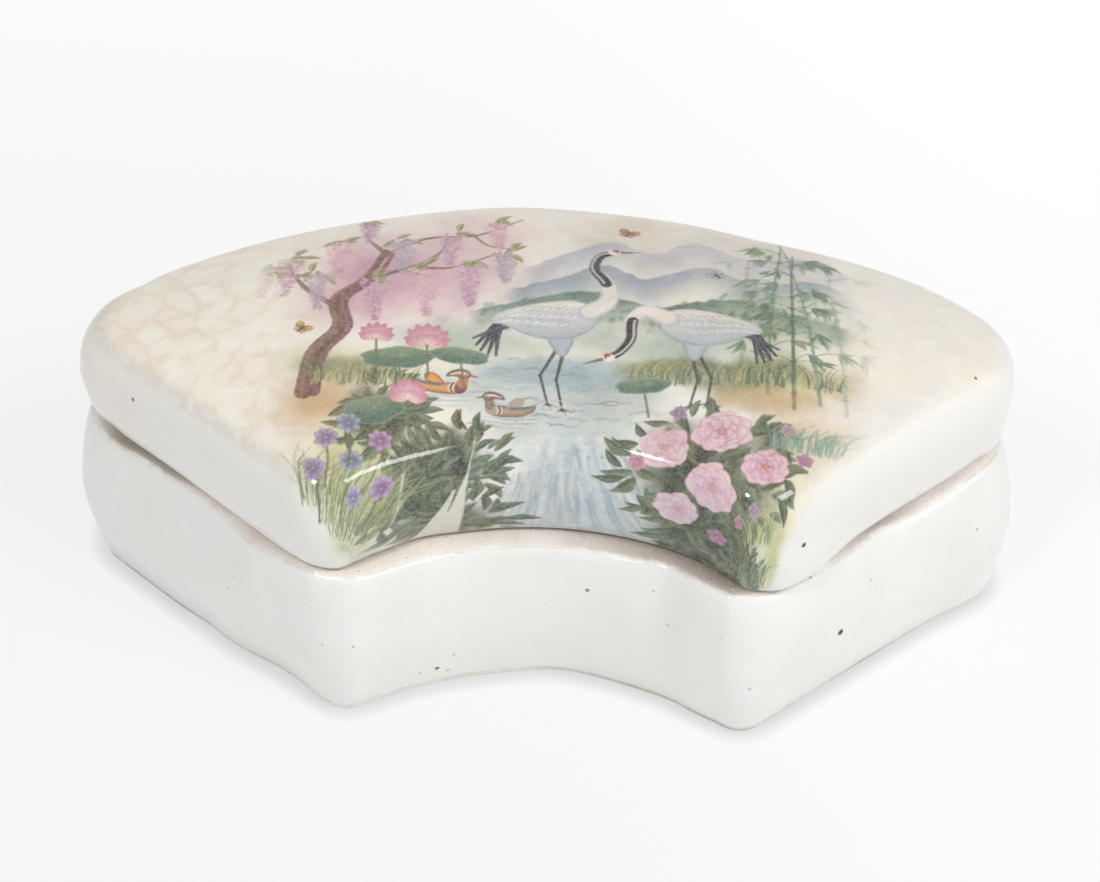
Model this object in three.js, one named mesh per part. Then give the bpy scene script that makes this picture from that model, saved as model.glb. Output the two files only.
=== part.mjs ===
// Fan-shaped porcelain box for seal paste, with a lift-off lid and its bed of red paste.
// Millimetres, +Z up. The box stands on z = 0 and the hollow side of the fan faces -Y.
// Every piece is lofted from fan outlines: a profile gives how far in and how high each outline lies.

import * as THREE from 'three';

// The fan in plan. Both arcs and both straight sides are struck from one centre.
const outerRadius = 80;
const innerRadius = 31.8;
const halfAngle = THREE.MathUtils.degToRad(47);
const cornerRadius = 7.4;
const innerCornerTightening = 2.2;
const leastCornerRadius = 1.6;
const fullestCornerShare = 0.9;

// Box body: foot ring, wall that swells above the foot, and the bare ledge that the lid rests on
const footInset = 2;
const footRound = 0.7;
const footRingWidth = 3.6;
const footRecessDepth = 1.2;
const footRecessSlope = 0.8;
const bellyHeight = 10.5;
const footTaperPower = 1.8;
const glazeEdgeInset = 1.6;
const glazeEdgeDrop = 0.5;
const ledgeSlopeReach = 1.6;
const seatHeight = 21.2;

// Collar that keeps the lid in place, and the well inside it
const collarInset = 7.8;
const collarThickness = 2.2;
const collarHeight = 3;
const collarRound = 0.8;
const wellDraft = 0.8;
const wellFloorHeight = 5.2;
const wellFillet = 3.5;

// Lid: a cushion-shaped shell a little smaller than the body, lying slightly askew on the ledge
const lidInset = 0.6;
const lidCorner = 8;
const lidFrontTrim = 1.5;
const lidSeatGap = 0.3;
const lidRimTuck = 1.7;
const lidRimThickness = 3;
const lidRimRound = 0.4;
const lidRimCorner = 5.4;
const lidWidestRise = 8.3;
const lidShoulderReach = 2.5;
const lidShoulderRise = 4.7;
const lidShoulderPower = 2.2;
const lidDomeRise = 3.6;
const lidDomeFlatShare = 0.1;
const lidTopThickness = 3.8;
const lidHollowShoulderDrop = 1.6;
const lidHollowReachShare = 0.28;
const lidHollowCorner = 5;
const lidPlaySide = 0.3;
const lidTurn = THREE.MathUtils.degToRad(0.8);

// Paste: fills the well to a little under the collar and is heaped towards the middle
const pasteGap = 0.3;
const pasteEdgeHeight = 15.2;
const pasteHeapRise = 3.4;
const pasteHeapReachShare = 0.58;
const pasteCorner = 3.2;

// How finely the curves are stepped
const outerArcSteps = 18;
const innerArcSteps = 11;
const cornerSteps = 6;
const wallSteps = 5;
const shoulderSteps = 7;
const domeSteps = 5;
const smallRoundSteps = 2;
const filletSteps = 4;

const glaze = new THREE.MeshStandardMaterial({ color: 0xe9ebe4, roughness: 0.12, metalness: 0 });
const paste = new THREE.MeshStandardMaterial({ color: 0xb31a12, roughness: 0.42, metalness: 0 });

// How far an outline lies from the middle line of the fan
function reachToMiddle(inset, frontTrim = 0) {
  return (outerRadius - innerRadius - frontTrim) / 2 - inset;
}

// Plan outline, a distance in from the edge of the fan, counter-clockwise from above.
// The two corners at the inner arc are tighter than those at the outer arc.
function fanOutline(inset, fullCorner, frontTrim = 0) {
  const outer = outerRadius - inset;
  const inner = innerRadius + frontTrim + inset;
  const corner = Math.min(fullCorner, reachToMiddle(inset, frontTrim) * fullestCornerShare);
  const innerCorner = Math.min(corner, Math.max(corner - innerCornerTightening, leastCornerRadius));
  const along = new THREE.Vector2(Math.sin(halfAngle), Math.cos(halfAngle));
  const inward = new THREE.Vector2(-Math.cos(halfAngle), Math.sin(halfAngle));
  const cornerCentre = (arcReach, off) => {
    const reach = Math.sqrt(arcReach ** 2 - off ** 2);
    return along.clone().multiplyScalar(reach).addScaledVector(inward, off);
  };
  const outerCentre = cornerCentre(outer - corner, inset + corner);
  const innerCentre = cornerCentre(inner + innerCorner, inset + innerCorner);
  const sideDirection = Math.atan2(-inward.y, -inward.x);

  const half = [];
  const arc = (centre, radius, from, to, steps, first) => {
    for (let i = first; i <= steps; i += 1) {
      const angle = from + ((to - from) * i) / steps;
      half.push(new THREE.Vector2(centre.x + radius * Math.cos(angle), centre.y + radius * Math.sin(angle)));
    }
  };
  const centre = new THREE.Vector2();
  const backDirection = Math.PI / 2;
  const innerDirection = Math.atan2(innerCentre.y, innerCentre.x);
  arc(centre, inner, backDirection, innerDirection, innerArcSteps, 0);
  arc(innerCentre, innerCorner, innerDirection - Math.PI, sideDirection, cornerSteps, 1);
  arc(outerCentre, corner, sideDirection, outerCentre.angle(), cornerSteps, 0);
  arc(centre, outer, outerCentre.angle(), backDirection, outerArcSteps, 1);

  const mirrored = half.slice(1, -1).reverse().map((p) => new THREE.Vector2(-p.x, p.y));
  return half.concat(mirrored);
}

// One line of a profile: how far in the outline lies, how high, and how round its corners are
function station(inset, z, corner = Math.max(cornerRadius - inset, leastCornerRadius)) {
  return { inset, z, corner };
}

// Rounded stretch that leaves one station and arrives at another a quarter turn later
function roundTo(start, end, steps, { leavesUpright = true, power = 2 } = {}) {
  const stations = [];
  for (let i = 1; i <= steps; i += 1) {
    const turn = (Math.PI / 2) * (i / steps);
    const late = 1 - Math.cos(turn) ** (2 / power);
    const early = Math.sin(turn) ** (2 / power);
    const insetShare = leavesUpright ? late : early;
    const riseShare = leavesUpright ? early : late;
    stations.push(station(
      start.inset + (end.inset - start.inset) * insetShare,
      start.z + (end.z - start.z) * riseShare,
      start.corner + (end.corner - start.corner) * insetShare,
    ));
  }
  return stations;
}

function capTriangles(ring) {
  return THREE.ShapeUtils.triangulateShape(ring, []).map(([a, b, c]) => {
    const turn = ring[b].clone().sub(ring[a]).cross(ring[c].clone().sub(ring[a]));
    return turn > 0 ? [a, b, c] : [a, c, b];
  });
}

// Closed solid through a run of outlines, with a flat cap facing down on the first and up on the last
function loft(stations, frontTrim = 0) {
  const rings = stations.map((s) => fanOutline(s.inset, s.corner, frontTrim));
  const count = rings[0].length;
  const positions = rings.flatMap((ring, k) => ring.flatMap((p) => [p.x, p.y, stations[k].z]));
  const faces = [];
  for (let k = 0; k + 1 < rings.length; k += 1) {
    for (let i = 0; i < count; i += 1) {
      const next = (i + 1) % count;
      const low = k * count;
      const high = low + count;
      faces.push(low + i, low + next, high + next, low + i, high + next, high + i);
    }
  }
  for (const [a, b, c] of capTriangles(rings[0])) faces.push(a, c, b);
  const last = (rings.length - 1) * count;
  for (const [a, b, c] of capTriangles(rings.at(-1))) faces.push(last + a, last + b, last + c);

  const geometry = new THREE.BufferGeometry();
  geometry.setAttribute('position', new THREE.Float32BufferAttribute(positions, 3));
  geometry.setIndex(faces);
  geometry.computeVertexNormals();
  return geometry;
}

// The well's wall leans in towards its floor by the draft of the mould
const collarTop = seatHeight + collarHeight;
const wellInset = collarInset + collarThickness;

function wellWallInset(z) {
  return wellInset + (wellDraft * (collarTop - z)) / (collarTop - wellFloorHeight);
}

function bodyGeometry() {
  const ringInset = footInset + footRingWidth;
  const recess = station(ringInset + footRecessSlope, footRecessDepth);
  const ringInner = station(ringInset, 0);
  const footEdge = station(footInset + footRound, 0);
  const footTop = station(footInset, footRound);

  const wall = [];
  for (let i = 1; i <= wallSteps; i += 1) {
    const rise = footRound + ((bellyHeight - footRound) * i) / wallSteps;
    const leftShare = (bellyHeight - rise) / (bellyHeight - footRound);
    wall.push(station(footInset * leftShare ** footTaperPower, rise));
  }
  const glazeEdge = station(glazeEdgeInset, seatHeight - glazeEdgeDrop);
  const seatEdge = station(glazeEdgeInset + ledgeSlopeReach, seatHeight);

  const collarFoot = station(collarInset, seatHeight);
  const collarShoulder = station(collarInset, collarTop - collarRound);
  const collarCrest = station(collarInset + collarRound, collarTop);
  const collarInnerCrest = station(wellInset - collarRound, collarTop);
  const collarMouth = station(wellInset, collarTop - collarRound);

  const filletTop = station(wellWallInset(wellFloorHeight + wellFillet), wellFloorHeight + wellFillet);
  const filletEnd = station(wellWallInset(wellFloorHeight) + wellFillet, wellFloorHeight);
  return loft([
    recess,
    ringInner,
    footEdge,
    ...roundTo(footEdge, footTop, smallRoundSteps, { leavesUpright: false }),
    ...wall,
    ...roundTo(wall.at(-1), glazeEdge, wallSteps),
    ...roundTo(glazeEdge, seatEdge, smallRoundSteps),
    collarFoot,
    collarShoulder,
    ...roundTo(collarShoulder, collarCrest, smallRoundSteps),
    collarInnerCrest,
    ...roundTo(collarInnerCrest, collarMouth, smallRoundSteps, { leavesUpright: false }),
    filletTop,
    ...roundTo(filletTop, filletEnd, filletSteps),
  ]);
}

// The top swells gently from the edge of the lid to the middle line of the fan
function domeRise(inset) {
  const leftShare = 1 - (inset - lidInset) / reachToMiddle(lidInset, lidFrontTrim);
  return lidDomeRise * (1 - leftShare ** 2);
}

function domeStations(startInset, baseHeight, corner) {
  const endInset = lidInset + reachToMiddle(lidInset, lidFrontTrim) * (1 - lidDomeFlatShare);
  const stations = [];
  for (let i = 1; i <= domeSteps; i += 1) {
    const inset = startInset + ((endInset - startInset) * i) / domeSteps;
    stations.push(station(inset, baseHeight + domeRise(inset), corner));
  }
  return stations;
}

// Rounded stretch on which the rise of the dome is laid as well
function domedRound(start, end, power) {
  const startRise = domeRise(start.inset);
  const flatStart = station(start.inset, start.z - startRise, start.corner);
  const flatEnd = station(end.inset, end.z - domeRise(end.inset), end.corner);
  const stations = roundTo(flatStart, flatEnd, shoulderSteps, { power });
  return stations.map((s) => station(s.inset, s.z + domeRise(s.inset), s.corner));
}

function lidGeometry() {
  const rimHeight = seatHeight + lidSeatGap;
  const widestHeight = rimHeight + lidWidestRise;
  const shoulderHeight = widestHeight + lidShoulderRise;
  const rimInner = lidInset + lidRimTuck + lidRimThickness;

  const hollowHeight = shoulderHeight - lidTopThickness;
  const hollowInset = rimInner + reachToMiddle(rimInner, lidFrontTrim) * lidHollowReachShare;
  const hollowEnd = station(hollowInset, hollowHeight + domeRise(hollowInset), lidHollowCorner);
  const hollowShoulder = station(rimInner, widestHeight - lidHollowShoulderDrop, lidHollowCorner);
  const hollow = [
    ...domedRound(hollowShoulder, hollowEnd, lidShoulderPower),
    ...domeStations(hollowInset, hollowHeight, lidHollowCorner),
  ].reverse();

  const rimInnerEdge = station(rimInner, rimHeight + lidRimRound, lidHollowCorner);
  const rimInnerFlat = station(rimInner - lidRimRound, rimHeight, lidHollowCorner);
  const rimOuterFlat = station(lidInset + lidRimTuck + lidRimRound, rimHeight, lidRimCorner);
  const rimOuterEdge = station(lidInset + lidRimTuck, rimHeight + lidRimRound, lidRimCorner);
  const widest = station(lidInset, widestHeight, lidCorner);
  const shoulderInset = lidInset + lidShoulderReach;
  const shoulder = station(shoulderInset, shoulderHeight + domeRise(shoulderInset), lidCorner);
  return loft([
    ...hollow,
    hollowShoulder,
    rimInnerEdge,
    ...roundTo(rimInnerEdge, rimInnerFlat, smallRoundSteps),
    rimOuterFlat,
    ...roundTo(rimOuterFlat, rimOuterEdge, smallRoundSteps, { leavesUpright: false }),
    ...roundTo(rimOuterEdge, widest, wallSteps, { leavesUpright: false }),
    ...domedRound(widest, shoulder, lidShoulderPower),
    ...domeStations(shoulderInset, shoulderHeight, lidCorner),
  ], lidFrontTrim);
}

function pasteGeometry() {
  const bedHeight = wellFloorHeight + pasteGap;
  const bedEdge = station(wellWallInset(wellFloorHeight) + wellFillet, bedHeight, pasteCorner);
  const sideHeight = wellFloorHeight + wellFillet;
  const sideStart = station(wellWallInset(sideHeight) + pasteGap, sideHeight, pasteCorner);
  const sideEnd = station(wellWallInset(pasteEdgeHeight) + pasteGap, pasteEdgeHeight, pasteCorner);
  const heapReach = reachToMiddle(sideEnd.inset) * pasteHeapReachShare;
  const heapTop = station(sideEnd.inset + heapReach, pasteEdgeHeight + pasteHeapRise, pasteCorner);
  return loft([
    bedEdge,
    ...roundTo(bedEdge, sideStart, filletSteps, { leavesUpright: false }),
    sideEnd,
    ...roundTo(sideEnd, heapTop, wallSteps),
  ]);
}

function piece(name, geometry, material) {
  const mesh = new THREE.Mesh(geometry, material);
  mesh.name = name;
  return mesh;
}

// The footprint's middle comes to x = 0 and y = 0
const footprint = fanOutline(0, cornerRadius).map((p) => p.y);
const footprintMiddle = (Math.max(...footprint) + Math.min(...footprint)) / 2;

const box = new THREE.Group();
box.position.y = -footprintMiddle;
box.add(piece('box_body', bodyGeometry(), glaze));
box.add(piece('seal_paste', pasteGeometry(), paste));

// The lid is turned about the middle of the footprint and pushed within the play round the collar
const lid = piece('lid', lidGeometry(), glaze);
lid.position.y = -footprintMiddle;
const lidPlace = new THREE.Group();
lidPlace.position.x = -lidPlaySide;
lidPlace.rotation.z = lidTurn;
lidPlace.add(lid);

const sealPasteBox = new THREE.Group();
sealPasteBox.name = 'seal_paste_box';
sealPasteBox.add(box, lidPlace);

export default sealPasteBox;
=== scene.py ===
"""Looks of a fan-shaped porcelain box for seal paste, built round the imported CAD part.

Lengths are in millimetres and are turned into metres when a mesh, a light or the camera is made.
The fan's plan is worked out in its own frame, whose origin is the centre of both arcs.
"""

import math

import bpy
import numpy as np
from mathutils import Matrix, Vector


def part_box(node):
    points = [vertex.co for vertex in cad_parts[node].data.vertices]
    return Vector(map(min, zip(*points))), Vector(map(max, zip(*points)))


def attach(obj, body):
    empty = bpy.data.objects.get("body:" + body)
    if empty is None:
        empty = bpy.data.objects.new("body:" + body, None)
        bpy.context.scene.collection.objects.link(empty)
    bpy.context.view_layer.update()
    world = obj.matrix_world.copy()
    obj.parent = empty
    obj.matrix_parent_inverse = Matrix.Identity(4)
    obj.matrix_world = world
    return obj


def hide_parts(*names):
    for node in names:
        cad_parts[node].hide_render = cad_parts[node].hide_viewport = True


MM = 0.001

# The fan in plan, as the CAD part has it
OUTER_RADIUS = 80.0
INNER_RADIUS = 31.8
HALF_ANGLE = math.radians(47)
CORNER_RADIUS = 7.4
INNER_CORNER_TIGHTENING = 2.2
LEAST_CORNER_RADIUS = 1.6
FULLEST_CORNER_SHARE = 0.9
MIDDLE_SHARE = 0.985
MIDDLE_CORNER = 0.2

# Body
FOOT_INSET = 2.0
FOOT_ROUND = 0.7
FOOT_RING_WIDTH = 3.6
FOOT_RECESS_DEPTH = 1.2
FOOT_RECESS_SLOPE = 0.8
BELLY_HEIGHT = 10.5
FOOT_TAPER_POWER = 1.8
GLAZE_EDGE_INSET = 1.6
GLAZE_EDGE_DROP = 0.5
GLAZE_ROLL_STEPS = 11
GLAZE_ROLL_START = math.radians(14)
GLAZE_ROLL_END = math.radians(60)
GLAZE_ROLL_FULLNESS = 0.4
GLAZE_BORDER_SHIFT = 0.05
LEDGE_SLOPE_REACH = 1.6
COLLAR_INSET = 7.8
COLLAR_THICKNESS = 2.2
COLLAR_ROUND = 0.8
COLLAR_HEIGHT = 3.0
WELL_DRAFT = 0.8
WELL_FLOOR = 5.2
WELL_FILLET = 3.5

# Lid
LID_INSET = 0.6
LID_CORNER = 8.0
LID_FRONT_TRIM = 1.5
LID_RIM_TUCK = 1.7
LID_RIM_THICKNESS = 3.0
LID_RIM_ROUND = 0.4
LID_RIM_CORNER = 5.4
LID_WIDEST_RISE = 8.3
LID_SHOULDER_REACH = 2.5
LID_SHOULDER_RISE = 4.7
LID_SHOULDER_POWER = 2.2
LID_DOME_RISE = 3.6
LID_MIDDLE_SHARE = 0.992
LID_TOP_THICKNESS = 3.8
LID_HOLLOW_SHOULDER_DROP = 1.6
LID_HOLLOW_REACH_SHARE = 0.28
LID_HOLLOW_CORNER = 5.0
LID_PLAY_SIDE = 0.3
LID_TURN = math.radians(0.8)
LID_SETTLING = 0.24

# Paste
PASTE_GAP = 0.3
PASTE_EDGE_HEIGHT = 15.2
PASTE_HEAP_RISE = 3.4
PASTE_HEAP_REACH_SHARE = 0.58
PASTE_CORNER = 3.2
PASTE_LUMPS = 1.3


# Plan outlines


def reach_to_middle(inset, trim=0.0):
    """How far an outline lies from the middle line of the fan."""
    return (OUTER_RADIUS - INNER_RADIUS - trim) / 2 - inset


def section_ends():
    """Ends of the five sections of half an outline, as shares of its length from front to back middle."""
    outer_off = CORNER_RADIUS
    inner_off = CORNER_RADIUS - INNER_CORNER_TIGHTENING
    outer_reach = math.sqrt((OUTER_RADIUS - outer_off) ** 2 - outer_off**2)
    inner_reach = math.sqrt((INNER_RADIUS + inner_off) ** 2 - inner_off**2)
    outer_direction = HALF_ANGLE - math.atan2(outer_off, outer_reach)
    inner_direction = HALF_ANGLE - math.atan2(inner_off, inner_reach)
    lengths = np.array([
        INNER_RADIUS * inner_direction,
        inner_off * (math.pi / 2 - (HALF_ANGLE - inner_direction)),
        outer_reach - inner_reach,
        outer_off * (math.pi / 2 + (HALF_ANGLE - outer_direction)),
        OUTER_RADIUS * outer_direction,
    ])
    return np.cumsum(lengths) / lengths.sum()


SECTION_ENDS = section_ends()
SECTION_STARTS = np.r_[0, SECTION_ENDS[:-1]]


def fan_point(inset, corner, around, trim=0.0):
    """Points on the outlines that lie inset from the fan's edge.

    around runs from 0 at the front middle, counter-clockwise seen from above, to 1 there again.
    """
    inset, corner, around = np.broadcast_arrays(inset, corner, np.mod(around, 1.0))
    mirror = np.where(around <= 0.5, 1.0, -1.0)
    run = np.where(around <= 0.5, around, 1.0 - around) * 2
    outer = OUTER_RADIUS - inset
    inner = INNER_RADIUS + trim + inset
    corner = np.minimum(corner, reach_to_middle(inset, trim) * FULLEST_CORNER_SHARE)
    inner_corner = np.minimum(corner, np.maximum(corner - INNER_CORNER_TIGHTENING, LEAST_CORNER_RADIUS))
    outer_off = inset + corner
    inner_off = inset + inner_corner
    sin, cos = math.sin(HALF_ANGLE), math.cos(HALF_ANGLE)
    outer_reach = np.sqrt((outer - corner) ** 2 - outer_off**2)
    inner_reach = np.sqrt((inner + inner_corner) ** 2 - inner_off**2)
    outer_x, outer_y = outer_reach * sin - outer_off * cos, outer_reach * cos + outer_off * sin
    inner_x, inner_y = inner_reach * sin - inner_off * cos, inner_reach * cos + inner_off * sin
    outer_turn = np.arctan2(outer_y, outer_x)
    inner_turn = np.arctan2(inner_y, inner_x)
    side_turn = -HALF_ANGLE
    back_turn = math.pi / 2

    section = np.minimum(np.searchsorted(SECTION_ENDS, run), 4)
    t = (run - SECTION_STARTS[section]) / (SECTION_ENDS - SECTION_STARTS)[section]

    def pick(*choices):
        return np.choose(section, [np.broadcast_to(c, run.shape) for c in choices])

    side_radius = inner_corner + (corner - inner_corner) * t
    centre_x = pick(0, inner_x, inner_x + (outer_x - inner_x) * t, outer_x, 0)
    centre_y = pick(0, inner_y, inner_y + (outer_y - inner_y) * t, outer_y, 0)
    radius = pick(inner, inner_corner, side_radius, corner, outer)
    start = pick(back_turn, inner_turn - math.pi, side_turn, side_turn, outer_turn)
    end = pick(inner_turn, side_turn, side_turn, outer_turn, back_turn)
    turn = start + (end - start) * t
    return mirror * (centre_x + radius * np.cos(turn)), centre_y + radius * np.sin(turn)


def footprint_middle():
    """Distance from the arcs' centre to the middle of the footprint, which is the part's origin."""
    y = fan_point(0.0, CORNER_RADIUS, np.linspace(0, 1, 4001))[1]
    return (y.max() + y.min()) / 2


FOOTPRINT_MIDDLE = footprint_middle()


# Profiles: rows of inset, height and corner radius


def station(inset, z, corner=None):
    """One row of a profile. Without a corner radius it keeps the fan's own, less the inset."""
    return [inset, z, max(CORNER_RADIUS - inset, LEAST_CORNER_RADIUS) if corner is None else corner]


def middle_station(z):
    """Station so near the fan's middle line that only a thin ring is left to close."""
    return station(reach_to_middle(0) * MIDDLE_SHARE, z, MIDDLE_CORNER)


def round_to(start, end, steps, leaves_upright=True, power=2.0):
    """Rounded stretch from one station to another, a quarter turn of a superellipse."""
    turn = np.linspace(0, math.pi / 2, steps + 1)[1:]
    late = 1 - np.maximum(np.cos(turn), 0) ** (2 / power)
    early = np.sin(turn) ** (2 / power)
    across, up = (late, early) if leaves_upright else (early, late)
    start, end = np.array(start), np.array(end)
    share = np.stack([across, up, across], axis=1)
    return [list(row) for row in start + (end - start) * share]


def straight_to(start, end, steps):
    """Even stations on a straight line from one station to another."""
    share = np.linspace(0, 1, steps + 1)[1:, None]
    return [list(row) for row in np.array(start) + (np.array(end) - np.array(start)) * share]


def rolled_to(start, end, steps, lean_start, lean_end):
    """Bowed stretch that leaves and arrives at the given leans from upright."""
    a, d = np.array(start[:2]), np.array(end[:2])
    reach = math.hypot(*(d - a)) * GLAZE_ROLL_FULLNESS
    b = a + reach * np.array([math.sin(lean_start), math.cos(lean_start)])
    c = d - reach * np.array([math.sin(lean_end), math.cos(lean_end)])
    t = np.linspace(0, 1, steps + 1)[1:, None]
    places = a * (1 - t) ** 3 + 3 * b * t * (1 - t) ** 2 + 3 * c * t**2 * (1 - t) + d * t**3
    return [station(*place) for place in places]


def well_wall_inset(z, collar_top):
    """How far in the well's drafted wall lies at a height."""
    inset = COLLAR_INSET + COLLAR_THICKNESS
    return inset + WELL_DRAFT * (collar_top - z) / (collar_top - WELL_FLOOR)


def body_profile(seat):
    """Stations of the body, and which are the glaze's lower and upper edge and the collar's mouth."""
    collar_top = seat + COLLAR_HEIGHT
    ring_inset = FOOT_INSET + FOOT_RING_WIDTH
    rows = [middle_station(FOOT_RECESS_DEPTH)]
    rows += straight_to(rows[-1], station(ring_inset + FOOT_RECESS_SLOPE, FOOT_RECESS_DEPTH), 12)
    rows += straight_to(rows[-1], station(ring_inset, 0), 2)
    rows += straight_to(rows[-1], station(FOOT_INSET + FOOT_ROUND, 0), 6)
    rows += round_to(rows[-1], station(FOOT_INSET, FOOT_ROUND), 5, leaves_upright=False)
    foot = len(rows) - 1
    for rise in np.linspace(FOOT_ROUND, BELLY_HEIGHT, 19)[1:]:
        left = (BELLY_HEIGHT - rise) / (BELLY_HEIGHT - FOOT_ROUND)
        rows.append(station(FOOT_INSET * left**FOOT_TAPER_POWER, rise))
    glaze_edge = station(GLAZE_EDGE_INSET, seat - GLAZE_EDGE_DROP)
    rows += round_to(rows[-1], glaze_edge, 22)[:13]
    rows += rolled_to(rows[-1], glaze_edge, GLAZE_ROLL_STEPS, GLAZE_ROLL_START, GLAZE_ROLL_END)
    glaze = len(rows) - 1
    rows += round_to(rows[-1], station(GLAZE_EDGE_INSET + LEDGE_SLOPE_REACH, seat), 6)
    rows += straight_to(rows[-1], station(COLLAR_INSET, seat), 9)
    rows += straight_to(rows[-1], station(COLLAR_INSET, collar_top - COLLAR_ROUND), 4)
    rows += round_to(rows[-1], station(COLLAR_INSET + COLLAR_ROUND, collar_top), 5)
    well_inset = COLLAR_INSET + COLLAR_THICKNESS
    rows += straight_to(rows[-1], station(well_inset - COLLAR_ROUND, collar_top), 2)
    rows += round_to(rows[-1], station(well_inset, collar_top - COLLAR_ROUND), 5, leaves_upright=False)
    mouth = len(rows) - 1
    fillet = WELL_FLOOR + WELL_FILLET
    rows += straight_to(rows[-1], station(well_wall_inset(fillet, collar_top), fillet), 10)
    end = station(well_wall_inset(WELL_FLOOR, collar_top) + WELL_FILLET, WELL_FLOOR)
    rows += round_to(rows[-1], end, 7)
    rows += straight_to(rows[-1], middle_station(WELL_FLOOR), 8)
    return np.array(rows), (foot, glaze, mouth)


def dome_rise(inset):
    """How much the lid's top has swelled from its edge to this far in."""
    left = 1 - (inset - LID_INSET) / reach_to_middle(LID_INSET, LID_FRONT_TRIM)
    return LID_DOME_RISE * (1 - left**2)


def domed_round(start, end, steps):
    """Rounded stretch on which the rise of the dome is laid as well."""
    flat_start = [start[0], start[1] - dome_rise(start[0]), start[2]]
    flat_end = [end[0], end[1] - dome_rise(end[0]), end[2]]
    rows = round_to(flat_start, flat_end, steps, power=LID_SHOULDER_POWER)
    return [[inset, z + dome_rise(inset), corner] for inset, z, corner in rows]


def dome_to_middle(start, base, steps):
    """Stations over the dome, from the shoulder to the middle line."""
    middle = reach_to_middle(0, LID_FRONT_TRIM) * LID_MIDDLE_SHARE
    insets = np.linspace(start[0], middle, steps + 1)[1:]
    return [[inset, base + dome_rise(inset), start[2]] for inset in insets]


def lid_profile(rim):
    """Stations of the lid from the middle of its hollow, round the rim, to the middle of its crown."""
    widest_height = rim + LID_WIDEST_RISE
    shoulder_height = widest_height + LID_SHOULDER_RISE
    rim_inner = LID_INSET + LID_RIM_TUCK + LID_RIM_THICKNESS
    rim_outer = LID_INSET + LID_RIM_TUCK

    hollow_height = shoulder_height - LID_TOP_THICKNESS
    hollow_inset = rim_inner + reach_to_middle(rim_inner, LID_FRONT_TRIM) * LID_HOLLOW_REACH_SHARE
    hollow_end = station(hollow_inset, hollow_height + dome_rise(hollow_inset), LID_HOLLOW_CORNER)
    hollow = [station(rim_inner, widest_height - LID_HOLLOW_SHOULDER_DROP, LID_HOLLOW_CORNER)]
    hollow += domed_round(hollow[0], hollow_end, 12)
    hollow += dome_to_middle(hollow_end, hollow_height, 12)
    rows = hollow[::-1]
    rows += straight_to(rows[-1], station(rim_inner, rim + LID_RIM_ROUND, LID_HOLLOW_CORNER), 4)
    rows += round_to(rows[-1], station(rim_inner - LID_RIM_ROUND, rim, LID_HOLLOW_CORNER), 3)
    rows += straight_to(rows[-1], station(rim_outer + LID_RIM_ROUND, rim, LID_RIM_CORNER), 4)
    flat_end = len(rows) - 1
    rim_end = station(rim_outer, rim + LID_RIM_ROUND, LID_RIM_CORNER)
    rows += round_to(rows[-1], rim_end, 4, leaves_upright=False)
    rim_edge = len(rows) - 1
    rows += round_to(rows[-1], station(LID_INSET, widest_height, LID_CORNER), 16, leaves_upright=False)
    widest = len(rows) - 1
    shoulder_inset = LID_INSET + LID_SHOULDER_REACH
    shoulder = station(shoulder_inset, shoulder_height + dome_rise(shoulder_inset), LID_CORNER)
    rows += domed_round(rows[-1], shoulder, 20)
    rows += dome_to_middle(shoulder, shoulder_height, 28)
    return np.array(rows), (flat_end, rim_edge, widest)


def paste_profile(collar_top):
    """Stations of the paste from the middle of its bed, up its side, to the middle of its heap."""
    bed = WELL_FLOOR + PASTE_GAP
    bed_edge = station(well_wall_inset(WELL_FLOOR, collar_top) + WELL_FILLET, bed, PASTE_CORNER)
    side = WELL_FLOOR + WELL_FILLET
    rows = [middle_station(bed)]
    rows += straight_to(rows[-1], bed_edge, 4)
    side_start = station(well_wall_inset(side, collar_top) + PASTE_GAP, side, PASTE_CORNER)
    rows += round_to(rows[-1], side_start, 5, leaves_upright=False)
    side_inset = well_wall_inset(PASTE_EDGE_HEIGHT, collar_top) + PASTE_GAP
    rows += straight_to(rows[-1], station(side_inset, PASTE_EDGE_HEIGHT, PASTE_CORNER), 5)
    heap_inset = side_inset + reach_to_middle(side_inset) * PASTE_HEAP_REACH_SHARE
    rows += round_to(rows[-1], station(heap_inset, PASTE_EDGE_HEIGHT + PASTE_HEAP_RISE, PASTE_CORNER), 26)
    rows += straight_to(rows[-1], middle_station(rows[-1][1]), 14)
    return np.array(rows)


# Hand-made unevenness

RIPPLE_PEAK = 2.2
LEAN_FADE_START = 3.1
LEAN_FADE_REACH = 6.0
SWAY_REACH = 20.0
# Places round the outline where the moulded wall leans out or in, seen in the photograph:
# place, spread, then how far out at the foot, at the belly and at the ledge
BODY_HEIGHTS = (0.0, 10.0, 20.0)
BODY_LEANS = (
    (0.872, 0.026, -1.5, -0.75, 0.0),
    (0.903, 0.019, -0.8, -1.05, -1.3),
    (0.856, 0.012, 0.0, 0.4, 0.8),
    (0.820, 0.012, -0.3, -0.4, -0.5),
    (0.772, 0.012, 0.0, 0.35, 0.7),
    (0.743, 0.010, -0.25, 0.15, 0.0),
    (0.097, 0.019, 0.0, -0.5, -1.0),
    (0.052, 0.009, 0.0, -0.35, -0.7),
    (0.068, 0.008, 0.3, 0.1, 0.0),
    (0.008, 0.020, -0.8, -0.4, 0.0),
    (0.174, 0.012, 0.0, -0.35, -0.7),
    (0.236, 0.018, 0.8, 0.4, 0.0),
    (0.250, 0.026, 0.0, -0.45, -0.9),
    (0.262, 0.014, -0.3, 0.3, 0.0),
)
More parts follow.
